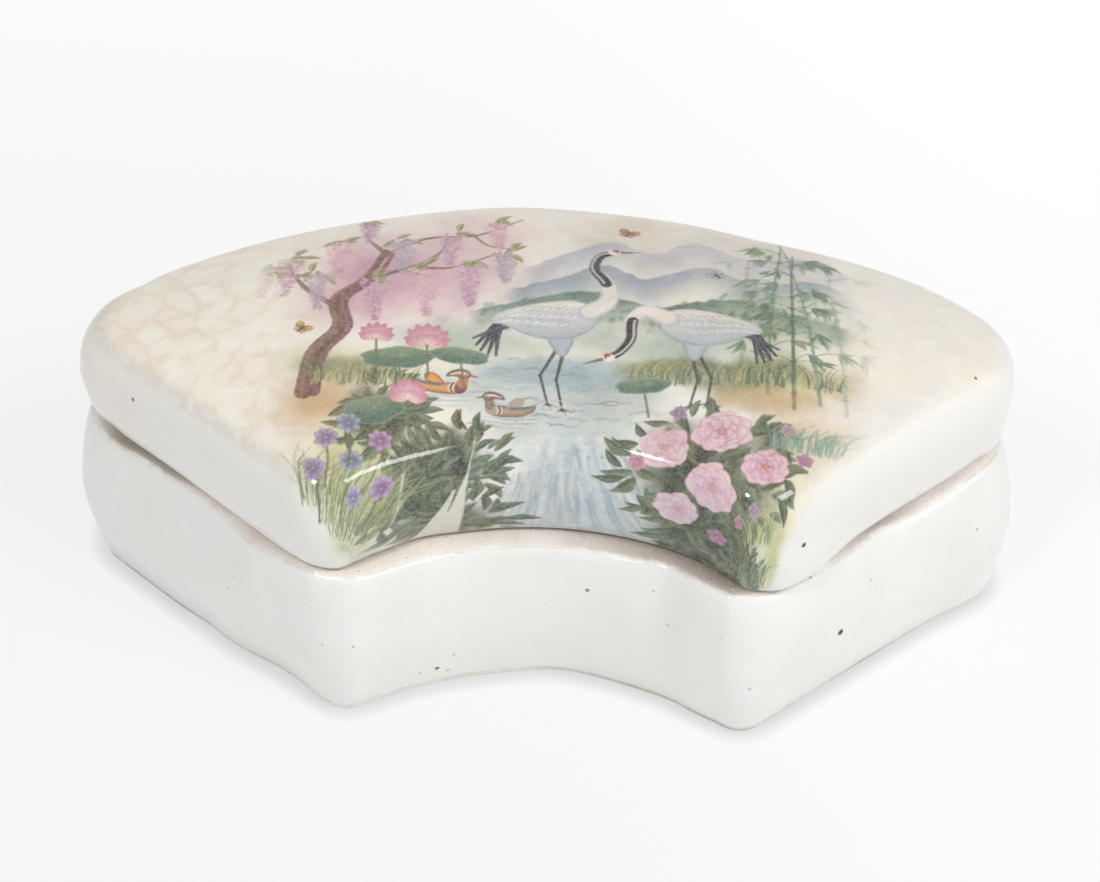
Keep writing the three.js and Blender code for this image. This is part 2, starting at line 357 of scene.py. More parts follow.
# The same for the lid: how far out at the rim, at the widest and at the shoulder
LID_HEIGHTS = (21.9, 28.0, 34.5)
LID_LEANS = (
    (0.121, 0.023, 1.6, 0.3, 0.0),
    (0.078, 0.015, 0.7, 0.1, 0.0),
    (0.800, 0.050, -0.4, 0.0, 0.0),
    (0.900, 0.014, -0.4, 0.0, 0.0),
    (0.952, 0.012, -0.4, 0.0, 0.0),
    (0.320, 0.040, 0.2, 0.4, 0.9),
    (0.520, 0.040, 0.3, 0.5, 0.6),
    (0.712, 0.010, 0.0, 0.0, -0.4),
    (0.745, 0.015, 0.0, 0.4, 0.1),
    (0.758, 0.008, -0.35, 0.0, 0.0),
    (0.400, 0.022, 0.0, -0.2, -0.4),
    (0.236, 0.010, -0.25, 0.0, 0.0),
    (0.262, 0.012, -0.2, -0.1, 0.0),
)


def ripple(around, seed, waves=7, fall=0.75):
    """Smooth wave round the outline, about -1 to 1, the same where it meets itself."""
    rng = np.random.default_rng(seed)
    total = np.zeros(np.shape(around))
    gain = 1.0
    for wave in range(1, waves + 1):
        total = total + gain * rng.uniform(0.4, 1) * np.sin(2 * math.pi * (wave * around + rng.random()))
        gain *= fall
    return total / RIPPLE_PEAK


def lean(around, z, leans, heights):
    """How far out the wall has moved at each place and height."""
    total = np.zeros(np.broadcast(around, z).shape)
    for place, spread, *amounts in leans:
        away = np.abs(np.mod(around - place + 0.5, 1) - 0.5)
        total = total + np.exp(-((away / spread) ** 2)) * np.interp(z, heights, amounts)
    return total


def fan_surface(
    profile, rings, around, trim=0.0, wander=0.0, sway=0.0, seed=1, leans=(), heights=(0.0, 1.0)
):
    """Points of a lofted piece at ring numbers and places round the outline, in the part's frame."""
    index = np.arange(len(profile))
    inset = np.interp(rings, index, profile[:, 0])
    z = np.interp(rings, index, profile[:, 1])
    corner = np.interp(rings, index, profile[:, 2])
    outward = wander * ripple(around, seed) + lean(around, z, leans, heights)
    shifted = inset - outward * np.clip(1 - (inset - LEAN_FADE_START) / LEAN_FADE_REACH, 0, 1)
    x, y = fan_point(shifted, corner, around, trim)
    z = z + sway * ripple(around, seed + 1) * np.clip(1 - inset / SWAY_REACH, 0, 1)
    return np.stack([x, y - FOOTPRINT_MIDDLE, z], axis=-1)


BODY_SHAPE = dict(wander=0.1, sway=0.05, seed=3, leans=BODY_LEANS, heights=BODY_HEIGHTS)
LID_SHAPE = dict(
    trim=LID_FRONT_TRIM, wander=0.1, sway=0.06, seed=5, leans=LID_LEANS, heights=LID_HEIGHTS
)


# Meshes

CORNER_DENSITY = 3.0


def grid_faces(ring_count, column_count):
    """Quads between neighbouring rings, each ring closed on itself."""
    ring = np.arange(ring_count - 1)[:, None] * column_count
    column = np.arange(column_count)[None, :]
    after = (column + 1) % column_count
    next_ring = ring + column_count
    return np.stack([ring + column, ring + after, next_ring + after, next_ring + column], -1)


def zipper(xy, ring):
    """Triangles that close a thin ring, stitched between its front and its back chain, facing up."""
    half = len(ring) // 2
    order = list(ring[half:]) + list(ring[:half])
    points = xy[order]
    left = int(np.argmin(points[:, 0]))
    order = order[left:] + order[:left]
    points = xy[order]
    right = int(np.argmax(points[:, 0]))
    front = order[: right + 1]
    back = [order[0]] + order[:right:-1] + [order[right]]
    faces = []
    i = j = 0
    while i < len(front) - 1 or j < len(back) - 1:
        back_done = j == len(back) - 1
        if back_done or (i < len(front) - 1 and xy[front[i + 1], 0] <= xy[back[j + 1], 0]):
            faces.append((front[i], front[i + 1], back[j]))
            i += 1
        else:
            faces.append((front[i], back[j + 1], back[j]))
            j += 1
    return [f for f in faces if len(set(f)) == 3]


def make_mesh(name, points, faces, normals=None):
    """Mesh object from points in millimetres and an array or list of faces."""
    mesh = bpy.data.meshes.new(name)
    mesh.from_pydata((points * MM).tolist(), [], [tuple(int(i) for i in f) for f in faces])
    mesh.polygons.foreach_set("use_smooth", np.ones(len(mesh.polygons), bool))
    mesh.validate()
    mesh.update()
    if normals is not None:
        mesh.normals_split_custom_set_from_vertices(normals.tolist())
    piece = bpy.data.objects.new(name, mesh)
    bpy.context.scene.collection.objects.link(piece)
    return piece


def set_floats(piece, name, values):
    """Keeps a number at each point of a mesh, for its material to read."""
    attribute = piece.data.attributes.new(name, "FLOAT", "POINT")
    attribute.data.foreach_set("value", np.asarray(values, np.float32))


def set_colours(piece, name, values):
    """Keeps a colour at each point of a mesh, for its material to read."""
    attribute = piece.data.color_attributes.new(name, "FLOAT_COLOR", "POINT")
    rgba = np.concatenate([values, np.ones((len(values), 1))], axis=1)
    attribute.data.foreach_set("color", rgba.astype(np.float32).ravel())


def column_places(column_count):
    """Places round the outline, closer together in the four corners."""
    half = np.sort(np.r_[SECTION_STARTS, 1.0])
    density = np.array([1.0, CORNER_DENSITY, 1.0, CORNER_DENSITY, 1.0])
    run = np.r_[0, np.cumsum(np.diff(half) * density)]
    run = np.r_[run, 2 * run[-1] - run[-2::-1]] / (2 * run[-1])
    places = np.r_[half, 2 - half[-2::-1]] / 2
    return np.interp(np.arange(column_count) / column_count, run, places)


def loft(profile, column_count, **shape):
    """Closed loft of fan outlines: points, faces, and each point's ring and place round the outline."""
    ring_count = len(profile)
    rings, around = np.meshgrid(np.arange(ring_count), column_places(column_count), indexing="ij")
    points = fan_surface(profile, rings, around, **shape).reshape(-1, 3)
    faces = grid_faces(ring_count, column_count).reshape(-1, 4).tolist()
    last = (ring_count - 1) * column_count + np.arange(column_count)
    first = np.arange(column_count)
    faces += zipper(points[:, :2], last)
    faces += [f[::-1] for f in zipper(points[:, :2], first)]
    return points, faces, rings.ravel().astype(float), around.ravel()


# Picture on the lid: a pond garden, painted in code and kept as colours of the mesh's points

GLAZE_CROWN = (0.80, 0.75, 0.67)
PAINT_GAMMA = 2.2
PAINT_SATURATION = 0.9
PAINT_TONE = (0.925, 0.885, 0.85)
PRINT_AREA = (-37.0, 41.0, 8.0, 80.0)
CANVAS_STEP = 0.075

WHITE = (0.955, 0.955, 0.94)
PALE_BLUE = (0.80, 0.87, 0.885)
BLUE = (0.56, 0.69, 0.77)
SLATE = (0.40, 0.48, 0.56)
LILAC = (0.68, 0.63, 0.78)
MAUVE = (0.77, 0.55, 0.75)
PINK = (0.88, 0.63, 0.75)
ROSE = (0.74, 0.38, 0.56)
PALE_PINK = (0.945, 0.82, 0.86)
WINE = (0.44, 0.22, 0.29)
BROWN = (0.45, 0.31, 0.27)
TEAL = (0.52, 0.68, 0.62)
DEEP_TEAL = (0.27, 0.44, 0.41)
SAGE = (0.66, 0.72, 0.58)
OLIVE = (0.45, 0.48, 0.33)
DARK_OLIVE = (0.20, 0.23, 0.17)
SPRING = (0.78, 0.81, 0.55)
OCHRE = (0.82, 0.66, 0.44)
SAND = (0.90, 0.82, 0.66)
ORANGE = (0.89, 0.60, 0.30)
RED = (0.76, 0.24, 0.19)
INK = (0.12, 0.11, 0.13)
FLAKED = (0.925, 0.92, 0.885)
STAMEN = (0.95, 0.86, 0.5)
THIGH = (0.30, 0.30, 0.30)
SHANK = (0.28, 0.28, 0.29)
KNEE = (0.24, 0.24, 0.25)
FEATHER_SHADE = (0.66, 0.74, 0.83)
IRIS_DEEP = (0.35, 0.30, 0.55)
PEONY_WHITE = (0.95, 0.86, 0.90)


def smooth(edge0, edge1, x):
    """Smooth step from 0 at the first edge to 1 at the second."""
    t = np.clip((x - edge0) / (edge1 - edge0), 0.0, 1.0)
    return t * t * (3 - 2 * t)


def mix(a, b, t):
    """Colour a share of the way from a to b, for one share or a whole field of them."""
    a, b, t = np.asarray(a, float), np.asarray(b, float), np.asarray(t, float)
    return a + (b - a) * t[..., None]


def cloud(shape, cells, seed, octaves=4, fall=0.55):
    """Smooth noise between 0 and 1 with the given number of cells across its widest octave."""
    rng = np.random.default_rng(seed)
    total, weight, gain = np.zeros(shape), 0.0, 1.0
    for octave in range(octaves):
        across = int(cells * 2**octave) + 2
        down = int(cells * 2**octave * shape[0] / shape[1]) + 2
        grid = rng.random((down + 1, across + 1))
        y = np.linspace(0, down - 1.001, shape[0])
        x = np.linspace(0, across - 1.001, shape[1])
        i, j = y.astype(int)[:, None], x.astype(int)[None, :]
        fy = smooth(0, 1, y - y.astype(int))[:, None]
        fx = smooth(0, 1, x - x.astype(int))[None, :]
        top = grid[i, j] * (1 - fx) + grid[i, j + 1] * fx
        low = grid[i + 1, j] * (1 - fx) + grid[i + 1, j + 1] * fx
        total += gain * (top * (1 - fy) + low * fy)
        weight += gain
        gain *= fall
    return total / weight


def curve(points, steps=8):
    """Smooth line through a few points."""
    p = np.asarray(points, float)
    q = np.vstack([2 * p[0] - p[1], p, 2 * p[-1] - p[-2]])
    t = np.linspace(0, 1, steps, endpoint=False)[:, None]
    runs = [span(*q[i : i + 4], t) for i in range(len(p) - 1)]
    return np.vstack(runs + [p[-1:]])


def closed(points, steps=6):
    """Smooth closed outline through a few points."""
    p = np.asarray(points, float)
    t = np.linspace(0, 1, steps, endpoint=False)[:, None]
    n = len(p)
    return np.vstack([span(p[i - 1], p[i], p[(i + 1) % n], p[(i + 2) % n], t) for i in range(n)])


def span(a, b, c, d, t):
    """Smooth run from b to c, led by their neighbours a and d."""
    bend = (2 * a - 5 * b + 4 * c - d) * t**2
    return 0.5 * (2 * b + (c - a) * t + bend + (3 * b - a - 3 * c + d) * t**3)


def placed(points, x, y, size=1.0, turn=0.0, flip=1):
    """Outline scaled, turned and moved to its place."""
    p = np.asarray(points, float) * [size * flip, size]
    c, s = math.cos(turn), math.sin(turn)
    return p @ np.array([[c, s], [-s, c]]) + [x, y]


def nearest_on(a, b, X, Y):
    """Share of the way from a to b that lies nearest each place, and how far off that is."""
    way = b - a
    t = np.clip(((X - a[0]) * way[0] + (Y - a[1]) * way[1]) / max(way @ way, 1e-12), 0, 1)
    return t, X - a[0] - t * way[0], Y - a[1] - t * way[1]


def own_axes(X, Y, x, y, turn):
    """Places along and across a motif that stands at x, y and is turned."""
    c, s = math.cos(turn), math.sin(turn)
    return (X - x) * c + (Y - y) * s, (Y - y) * c - (X - x) * s


class Canvas:
    """Inks laid over bare glaze. x runs right and y runs up, both in millimetres."""

    def __init__(self, area, step):
        x0, x1, y0, y1 = area
        self.x0, self.y1, self.step = x0, y1, step
        self.h, self.w = int(round((y1 - y0) / step)), int(round((x1 - x0) / step))
        self.colour = np.zeros((self.h, self.w, 3))
        self.cover = np.zeros((self.h, self.w))
        self.grain = cloud((self.h, self.w), 150, 5, 3, 0.8)
        self.mottle = cloud((self.h, self.w), 14, 6, 6, 0.62)

    def window(self, points, pad):
        """Part of the canvas round some points, with the x and y of its places."""
        (x0, y0), (x1, y1) = points.min(0) - pad, points.max(0) + pad
        i0 = max(int((self.y1 - y1) / self.step) - 1, 0)
        i1 = max(min(int((self.y1 - y0) / self.step) + 2, self.h), i0)
        j0 = max(int((x0 - self.x0) / self.step) - 1, 0)
        j1 = max(min(int((x1 - self.x0) / self.step) + 2, self.w), j0)
        y = self.y1 - (np.arange(i0, i1) + 0.5) * self.step
        x = self.x0 + (np.arange(j0, j1) + 0.5) * self.step
        return (slice(i0, i1), slice(j0, j1)), x[None, :], y[:, None]

    def lay(self, part, colour, alpha):
        """Lays an ink over what is there."""
        a = np.clip(alpha, 0, 1)
        old = self.cover[part] * (1 - a)
        new = a + old
        ink = np.broadcast_to(np.asarray(colour, float), a.shape + (3,))
        both = ink * a[..., None] + self.colour[part] * old[..., None]
        self.colour[part] = both / np.maximum(new, 1e-6)[..., None]
        self.cover[part] = new

    def wash(self, x, y, rx, ry, colour, strength=0.6, turn=0.0, rough=0.35, soft=0.9):
        """Soft airbrushed patch with a ragged edge."""
        reach = max(rx, ry) * 1.5
        part, X, Y = self.window(np.array([[x, y]]), reach)
        along, across = own_axes(X, Y, x, y, turn)
        u, v = along / rx, across / ry
        away = np.sqrt(u * u + v * v) + (self.mottle[part] - 0.5) * rough * 2
        self.lay(part, colour, strength * smooth(1.0, 1.0 - soft, away))

    def stroke(self, points, width, colour, strength=0.9, soft=0.12, end=None, dry=0.0):
        """Brush line that goes from one width to another."""
        p = np.asarray(points, float)
        end = width if end is None else end
        part, X, Y = self.window(p, max(width, end) / 2 + soft)
        run = np.r_[0, np.cumsum(np.hypot(*np.diff(p, axis=0).T))]
        run = run / max(run[-1], 1e-9)
        away = np.full(np.broadcast(X, Y).shape, 1e9)
        for a, b, ra, rb in zip(p[:-1], p[1:], run[:-1], run[1:]):
            t, across, up = nearest_on(a, b, X, Y)
            wide = width + (end - width) * (ra + (rb - ra) * t)
            away = np.minimum(away, np.hypot(across, up) - wide / 2)
        alpha = smooth(soft / 2, -soft / 2, away)
        self.lay(part, colour, strength * alpha * (1 - dry * smooth(0.45, 0.6, self.grain[part])))

    def shape(self, points, colour, strength=1.0, soft=0.12, shade=None, dry=0.0):
        """Filled outline. shade gives the colour from x, y and the depth inside the edge."""
        p = np.asarray(points, float)
        part, X, Y = self.window(p, soft)
        inside = np.zeros(np.broadcast(X, Y).shape, bool)
        near = np.full(inside.shape, 1e9)
        for a, b in zip(p, np.roll(p, -1, 0)):
            _, across, up = nearest_on(a, b, X, Y)
            near = np.minimum(near, across**2 + up**2)
            rise = b[1] - a[1] if abs(b[1] - a[1]) > 1e-9 else 1e-9
            inside ^= ((a[1] > Y) != (b[1] > Y)) & (X < a[0] + (Y - a[1]) * (b[0] - a[0]) / rise)
        depth = np.sqrt(near) * np.where(inside, 1.0, -1.0)
        alpha = smooth(-soft / 2, soft / 2, depth) * (1 - dry * smooth(0.45, 0.6, self.grain[part]))
        self.lay(part, colour if shade is None else shade(X, Y, depth), strength * alpha)

    def finish(self):
        """Mutes the paint and turns it into the share of light that it leaves of the glaze below."""
        grey = self.colour.mean(axis=2, keepdims=True)
        aged = (0.90 + 0.08 * self.grain + 0.14 * (self.mottle - 0.2))[..., None] * PAINT_TONE
        muted = (grey + (self.colour - grey) * PAINT_SATURATION) * aged
        glaze = np.array(GLAZE_CROWN) ** (1 / PAINT_GAMMA)
        self.seen = (1 + self.cover[..., None] * (muted / glaze - 1)).astype(np.float32)
        self.tint = self.seen**PAINT_GAMMA

    def holds(self, x, y):
        """Whether places lie on the canvas."""
        j = (x - self.x0) / self.step
        i = (self.y1 - y) / self.step
        return (j > 1) & (j < self.w - 2) & (i > 1) & (i < self.h - 2)

    def sample(self, field, x, y):
        """Value of a field of the canvas at places, even between its grid points."""
        j = np.clip((x - self.x0) / self.step - 0.5, 0, self.w - 1.01)
        i = np.clip((self.y1 - y) / self.step - 0.5, 0, self.h - 1.01)
        left, up = j.astype(int), i.astype(int)
        across, down = (j - left)[:, None], (i - up)[:, None]
        upper = field[up, left] * (1 - across) + field[up, left + 1] * across
        lower = field[up + 1, left] * (1 - across) + field[up + 1, left + 1] * across
        return upper * (1 - down) + lower * down

    def tone(self, x, y):
        """Tint at places, at the steps the eye sees."""
        return self.sample(self.seen, x, y)

    def ink(self, x, y):
        """Ink at places of the lid, none off the canvas."""
        return np.where(self.holds(x, y)[:, None], self.sample(self.tint, x, y), 1.0)


# Motifs


def petal(canvas, x, y, length, width, turn, base, tip, pointed=0.0, line=None):
    """Petal from its base outwards, shaded from base to tip, with a fine edge line."""
    w = width / length / 2
    tip_w = 0.5 * w * (1 - 0.6 * pointed)
    tip_u = 1 - 0.1 * (1 - pointed)
    form = [(0, 0), (0.30, 0.8 * w), (0.68, w), (tip_u, tip_w), (1.0, 0),
            (tip_u, -tip_w), (0.68, -w), (0.30, -0.8 * w)]
    outline = placed(closed(form, 4), x, y, length, turn)

    def shade(X, Y, depth):
        along = own_axes(X, Y, x, y, turn)[0] / length
        body = mix(base, tip, smooth(0.1, 0.95, along))
        return mix(body, line or base, 0.5 * smooth(0.16, 0.0, depth))

    canvas.shape(outline, base, 1.0, 0.1, shade)


def leaf(canvas, x, y, length, width, turn, light, dark, bend=0.15, strength=0.95):
    """Leaf with a midrib, one half lit and one half dark."""
    w = width / length / 2
    form = [(0, 0), (0.22, 0.75 * w + bend * 0.5), (0.52, w + bend), (0.82, 0.5 * w + bend * 0.6), (1, 0),
            (0.82, -0.5 * w + bend * 0.6), (0.52, -w + bend), (0.22, -0.75 * w + bend * 0.5)]
    outline = placed(closed(form, 4), x, y, length, turn)

    def shade(X, Y, _):
        along, across = own_axes(X, Y, x, y, turn)
        u, v = along / length, across / length
        rib = v - bend * 4 * u * (1 - u)
        veins = 0.5 + 0.5 * np.sin((u * 9 - np.abs(rib) * 16) * 2 * math.pi / 1.6)
        share = 0.25 + 0.5 * smooth(-0.02, 0.02, -rib) + 0.18 * veins
        midrib = smooth(0.05 / length, 0.0, np.abs(rib) - 0.03 / length)
        return mix(mix(light, dark, share), light, 0.8 * midrib)

    canvas.shape(outline, light, strength, 0.1, shade)


PEONY_RINGS = ((9, 1.0, 0.8), (8, 0.80, 0.66), (7, 0.58, 0.5), (5, 0.38, 0.36))


def peony(canvas, x, y, size, turn, inner, outer, seed):
    """Full flower of four rings of petals, with stamens in its middle."""
    rng = np.random.default_rng(seed)
    for ring, (count, length, width) in enumerate(PEONY_RINGS):
        for k in range(count):
            angle = turn + 2 * math.pi * (k + 0.5 * (ring % 2)) / count + rng.uniform(-0.15, 0.15)
            grow = size * length * rng.uniform(0.88, 1.08) * (0.78 + 0.22 * abs(math.cos(angle)))
            deep = mix(inner, outer, 0.12 * rng.random() + 0.06 * ring)
            wide = size * width * rng.uniform(0.9, 1.1)
            petal(canvas, x, y, grow, wide, angle, deep, mix(outer, WHITE, rng.random() * 0.5), line=inner)
    for _ in range(16):
        angle, far = rng.uniform(0, 2 * math.pi), size * rng.uniform(0.02, 0.2)
        place = (x + far * math.cos(angle), y + far * math.sin(angle))
        canvas.wash(*place, 0.13, 0.13, (0.93, 0.78, 0.38), 0.9, rough=0)


def small_flower(canvas, x, y, size, colour, seed):
    """Flower of five petals."""
    rng = np.random.default_rng(seed)
    start = rng.uniform(0, 6)
    for k in range(5):
        length = size * rng.uniform(0.85, 1.1)
        tip = mix(colour, WHITE, 0.25 * rng.random())
        petal(canvas, x, y, length, size * 0.8, start + k * 2 * math.pi / 5, mix(colour, WINE, 0.35), tip)
    canvas.wash(x, y, size * 0.2, size * 0.2, STAMEN, 0.95, rough=0)


def lotus(canvas, x, y, size):
    """Open lotus seen from the side: back petals, then the cup, then the fallen-open front ones."""
    back = ((1.25, 0.86), (0.8, 1.0), (0.38, 1.06), (0.0, 1.08))
    front = ((1.5, 0.74), (1.0, 0.66), (0.5, 0.6), (0.0, 0.56))

    def layer(petals, drop, width, base, tip, pointed):
        for spread, length in petals:
            for side in ((-1, 1) if spread else (1,)):
                angle = math.pi / 2 + side * spread
                low = y - drop * size
                petal(canvas, x, low, size * length, size * width, angle, base, tip, pointed, ROSE)

    layer(back, 0.0, 0.42, (0.97, 0.90, 0.88), mix(PINK, ROSE, 0.25), 0.9)
    canvas.wash(x, y + size * 0.22, size * 0.2, size * 0.16, (0.90, 0.80, 0.36), 0.95, rough=0.1)
    layer(front, 0.04, 0.38, (0.98, 0.93, 0.90), PINK, 0.8)


def lotus_leaf(canvas, x, y, rx, ry, turn, seed):
    """Broad round leaf seen at a slant, with a waved rim and veins that run from its navel."""
    rng = np.random.default_rng(seed)
    angles = np.linspace(0, 2 * math.pi, 28, endpoint=False)
    wave = 1 + 0.05 * np.sin(angles * 5 + rng.uniform(0, 6))
    wave = wave + 0.03 * np.sin(angles * 9 + rng.uniform(0, 6))
    rim = closed(np.c_[rx * wave * np.cos(angles), ry * wave * np.sin(angles)], 3)
    outline = placed(rim, x, y, 1, turn)

    def shade(X, Y, depth):
        along, across = own_axes(X, Y, x, y, turn)
        u, v = along / rx - 0.1, across / ry - 0.15
        angle, far = np.arctan2(v, u), np.hypot(u, v)
        vein = np.abs(np.mod(angle / (2 * math.pi) * 15, 1) - 0.5) * far
        share = 0.35 + 0.45 * smooth(0.9, -0.6, v)
        share = share - 0.25 * smooth(0.06, 0.0, vein) - 0.2 * smooth(0.25, 0.0, far)
        return mix(mix(SAGE, DEEP_TEAL, np.clip(share, 0, 1)), SAGE, 0.7 * smooth(0.22, 0.02, depth))

    canvas.shape(outline, SAGE, 0.97, 0.12, shade)


def raceme(canvas, x, y, length, width, colour, seed, lean=0.0):
    """Hanging cluster of florets that narrows to its tip."""
    rng = np.random.default_rng(seed)
    floret = closed([(0, 0), (0.5, 0.3), (1, 0), (0.5, -0.3)], 3)
    haze = mix(colour, WHITE, 0.3)
    canvas.wash(x + lean * 0.4, y - length * 0.45, width * 0.6, length * 0.55, haze, 0.5, rough=0.3)
    for _ in range(int(length * width * 5.5)):
        down = rng.random() ** 0.85
        spread = width / 2 * (1 - 0.75 * down) * rng.uniform(-1, 1)
        fx, fy = x + spread + lean * down, y - length * down
        tone = mix(colour, WHITE, 0.55 * rng.random() * (1 - 0.5 * down))
        tone = mix(tone, WINE, 0.28 * rng.random() * down)
        angle = rng.uniform(0, 6.3)
        grow = 0.5 * (1 - 0.45 * down)
        canvas.shape(placed(floret, fx, fy, grow * 1.2, angle), tone, 0.85, 0.1)
        canvas.shape(placed(floret, fx, fy, grow, angle + 2.2), mix(tone, WHITE, 0.3), 0.85, 0.1)


def grass(canvas, x0, x1, y, height, count, colours, seed, lean):
    """Fine blades that stand along a line."""
    rng = np.random.default_rng(seed)
    for _ in range(count):
        x, tall = rng.uniform(x0, x1), height * rng.uniform(0.5, 1.1)
        tip = rng.normal(lean, 0.35) * tall
        base = y + rng.uniform(-1, 1) * height * 0.18
        blade = curve([(x, base), (x + tip * 0.25, base + tall * 0.6), (x + tip, base + tall)], 5)
        canvas.stroke(blade, 0.26, colours[rng.integers(len(colours))], rng.uniform(0.5, 0.9), 0.1, 0.05)


def branch(canvas, points, width, end, colour=BROWN, strength=0.92):
    """Dry brush stroke for wood, with a lit side."""
    line = curve(points, 7)
    canvas.stroke(line, width, colour, strength, 0.14, end, 0.25)
    lit = line + [-0.16 * width, 0.12 * width]
    canvas.stroke(lit, width * 0.3, mix(colour, SAND, 0.6), 0.55, 0.1, end * 0.3, 0.5)


def clump(canvas, x, y, rx, ry, count, seed, length, gloom):
    """Bush of dark glossy leaves that point away from its middle."""
    canvas.wash(x, y, rx * 1.05, ry * 1.05, DARK_OLIVE, gloom, rough=0.5, soft=0.7)
    rng = np.random.default_rng(seed)
    inks = ((0.36, 0.44, 0.30), (0.27, 0.36, 0.28), OLIVE, (0.45, 0.55, 0.45))
    for _ in range(count):
        angle = rng.uniform(0, 2 * math.pi)
        far = rng.random() ** 0.6
        ink = inks[rng.integers(4)]
        size = length * rng.uniform(0.65, 1.15)
        place = (x + rx * far * math.cos(angle), y + ry * far * math.sin(angle))
        width = size * rng.uniform(0.32, 0.42)
        turn = angle + rng.normal(0, 0.7)
        leaf(canvas, *place, size, width, turn, mix(ink, SAGE, 0.45), mix(ink, DARK_OLIVE, 0.5), 0.1, 0.93)


def ridge(canvas, points, colour, fall, strength, seed):
    """Misty hill: solid at its skyline, gone some way below it."""
    rng = np.random.default_rng(seed)
    p = curve(points, 10)
    p[1:-1, 1] += rng.normal(0, 0.13, len(p) - 2)
    part, X, Y = canvas.window(p, fall)
    sky = np.interp(X[0], p[:, 0], p[:, 1])[None, :]
    below = sky - Y + (canvas.mottle[part] - 0.5) * 0.5
    ends = smooth(p[0, 0], p[0, 0] + 3, X) * smooth(p[-1, 0], p[-1, 0] - 3, X)
    folds = 1 - 0.28 * smooth(0.45, 0.62, canvas.mottle[part])
    mist = smooth(-0.1, 0.15, below) * smooth(fall, 0, below)
    canvas.lay(part, colour, strength * mist * ends * folds)


def bamboo(canvas, x, y0, y1, lean, colour, strength, seed):
    """Jointed stem with twigs and narrow hanging leaves on its upper part."""
    rng = np.random.default_rng(seed)
    stem = curve([(x, y0), (x + lean * 0.35, (y0 + y1) / 2), (x + lean, y1)], 6)
    canvas.stroke(stem, 0.5, colour, strength, 0.12, 0.22)
    count = int((y1 - y0) / 3.2)
    for k in range(1, count + 1):
        share = k / (count + 0.5)
        at = stem[int(share * (len(stem) - 1))]
        joint = [at + [-0.34, 0], at + [0.34, 0.04]]
        canvas.stroke(joint, 0.16, mix(colour, DARK_OLIVE, 0.5), strength, 0.1)
        if share > 0.3:
            for _ in range(rng.integers(2, 4)):
                side = rng.choice([-1, 1])
                reach = rng.uniform(1.6, 3.4)
                tip = at + [side * reach, rng.uniform(0.2, 1.6)]
                twig = curve([at, (at + tip) / 2 + [0, 0.3], tip], 4)
                canvas.stroke(twig, 0.12, colour, strength, 0.08, 0.06)
                for _ in range(rng.integers(3, 6)):
                    angle = (-0.9 if side > 0 else math.pi + 0.9) + rng.normal(0, 0.5)
                    length = rng.uniform(1.5, 2.9)
                    other = DARK_OLIVE if rng.choice([0, 1]) else SPRING
                    ink = mix(colour, other, 0.35 * rng.random())
                    leaf(canvas, *tip, length, 0.46, angle, mix(ink, WHITE, 0.2), ink, 0.05, strength)


CRANE_BODY = [
    (4.9, 2.3), (5.5, 0.4), (4.6, -1.9), (2.3, -3.5), (-0.9, -3.9), (-3.8, -3.1), (-6.2, -1.7),
    (-7.9, -1.0), (-7.2, 0.5), (-4.2, 2.0), (-0.6, 3.1), (2.6, 3.3),
]
CRANE_THIGHS = [(2.4, -2.6), (1.7, -6.4), (0.4, -6.5), (-0.9, -3.0)]
# Tips of the dark plumes that hang over the tail
CRANE_PLUMES = ((-9.6, -5.4), (-9.0, -6.3), (-8.1, -6.9), (-7.1, -7.1), (-10.0, -4.2))
CRANE_TOES = ((1.3, -0.35), (0.5, -0.75), (-0.7, -0.3))
# Rows of wing feathers: how many, where the row starts and stops, and how long they are
CRANE_FEATHERS = (
    (7, (3.4, 1.7), (-2.4, 1.9), 1.5),
    (8, (3.0, 0.3), (-4.0, 0.5), 2.0),
    (7, (1.8, -1.1), (-5.0, -0.6), 2.4),
)


def crane(canvas, x, y, size, flip, neck, legs):
    """Standing crane, which faces right before it is flipped."""

    def at(points):
        return placed(points, x, y, size, 0, flip)

    crane_tail_and_legs(canvas, at, size, legs)
    low = at([(0, -3.9)])[0][1]
    high = at([(0, 3.3)])[0][1]

    def body_shade(X, Y, depth):
        share = smooth(high, low, Y + 0.5 * np.sin(X * 2.2) * 0.3)
        lit = mix(WHITE, (0.70, 0.78, 0.85), 0.85 * share)
        return mix(lit, (0.56, 0.62, 0.72), 0.75 * smooth(0.45 * size, 0, depth) * (0.3 + 0.7 * share))

    canvas.shape(closed(at(CRANE_THIGHS), 4), WHITE, 1, 0.14, body_shade)
    canvas.shape(closed(at(CRANE_BODY), 5), WHITE, 1, 0.14, body_shade)
    crane_wing(canvas, at, size)
    crane_neck_and_head(canvas, curve(at(neck), 10), size, flip)


def crane_tail_and_legs(canvas, at, size, legs):
    """Dark plumes over the tail, then each leg from thigh to toes."""
    for k, (dx, dy) in enumerate(CRANE_PLUMES):
        plume = curve(at([(-3.6, 0.3 - 0.25 * k), (-6.6, -0.9 - 0.3 * k), (dx, dy)]), 6)
        canvas.stroke(plume, 1.35 * size, mix(INK, SLATE, 0.12 * k), 0.95, 0.16, 0.3 * size)
        canvas.stroke(plume + [0.1, 0.12], 0.16 * size, mix(SLATE, WHITE, 0.3), 0.7, 0.1, 0.06)
    for thigh, knee, foot in legs:
        canvas.stroke(at([thigh, knee]), 0.5 * size, THIGH, 0.95, 0.1, 0.34 * size)
        canvas.stroke(at([knee, foot]), 0.36 * size, SHANK, 0.95, 0.1, 0.3 * size)
        canvas.wash(*at([knee])[0], 0.34 * size, 0.4 * size, KNEE, 0.9, rough=0)
        for across, up in CRANE_TOES:
            toe = at([foot, (foot[0] + across, foot[1] + up)])
            canvas.stroke(toe, 0.28 * size, SHANK, 0.9, 0.1, 0.1 * size)


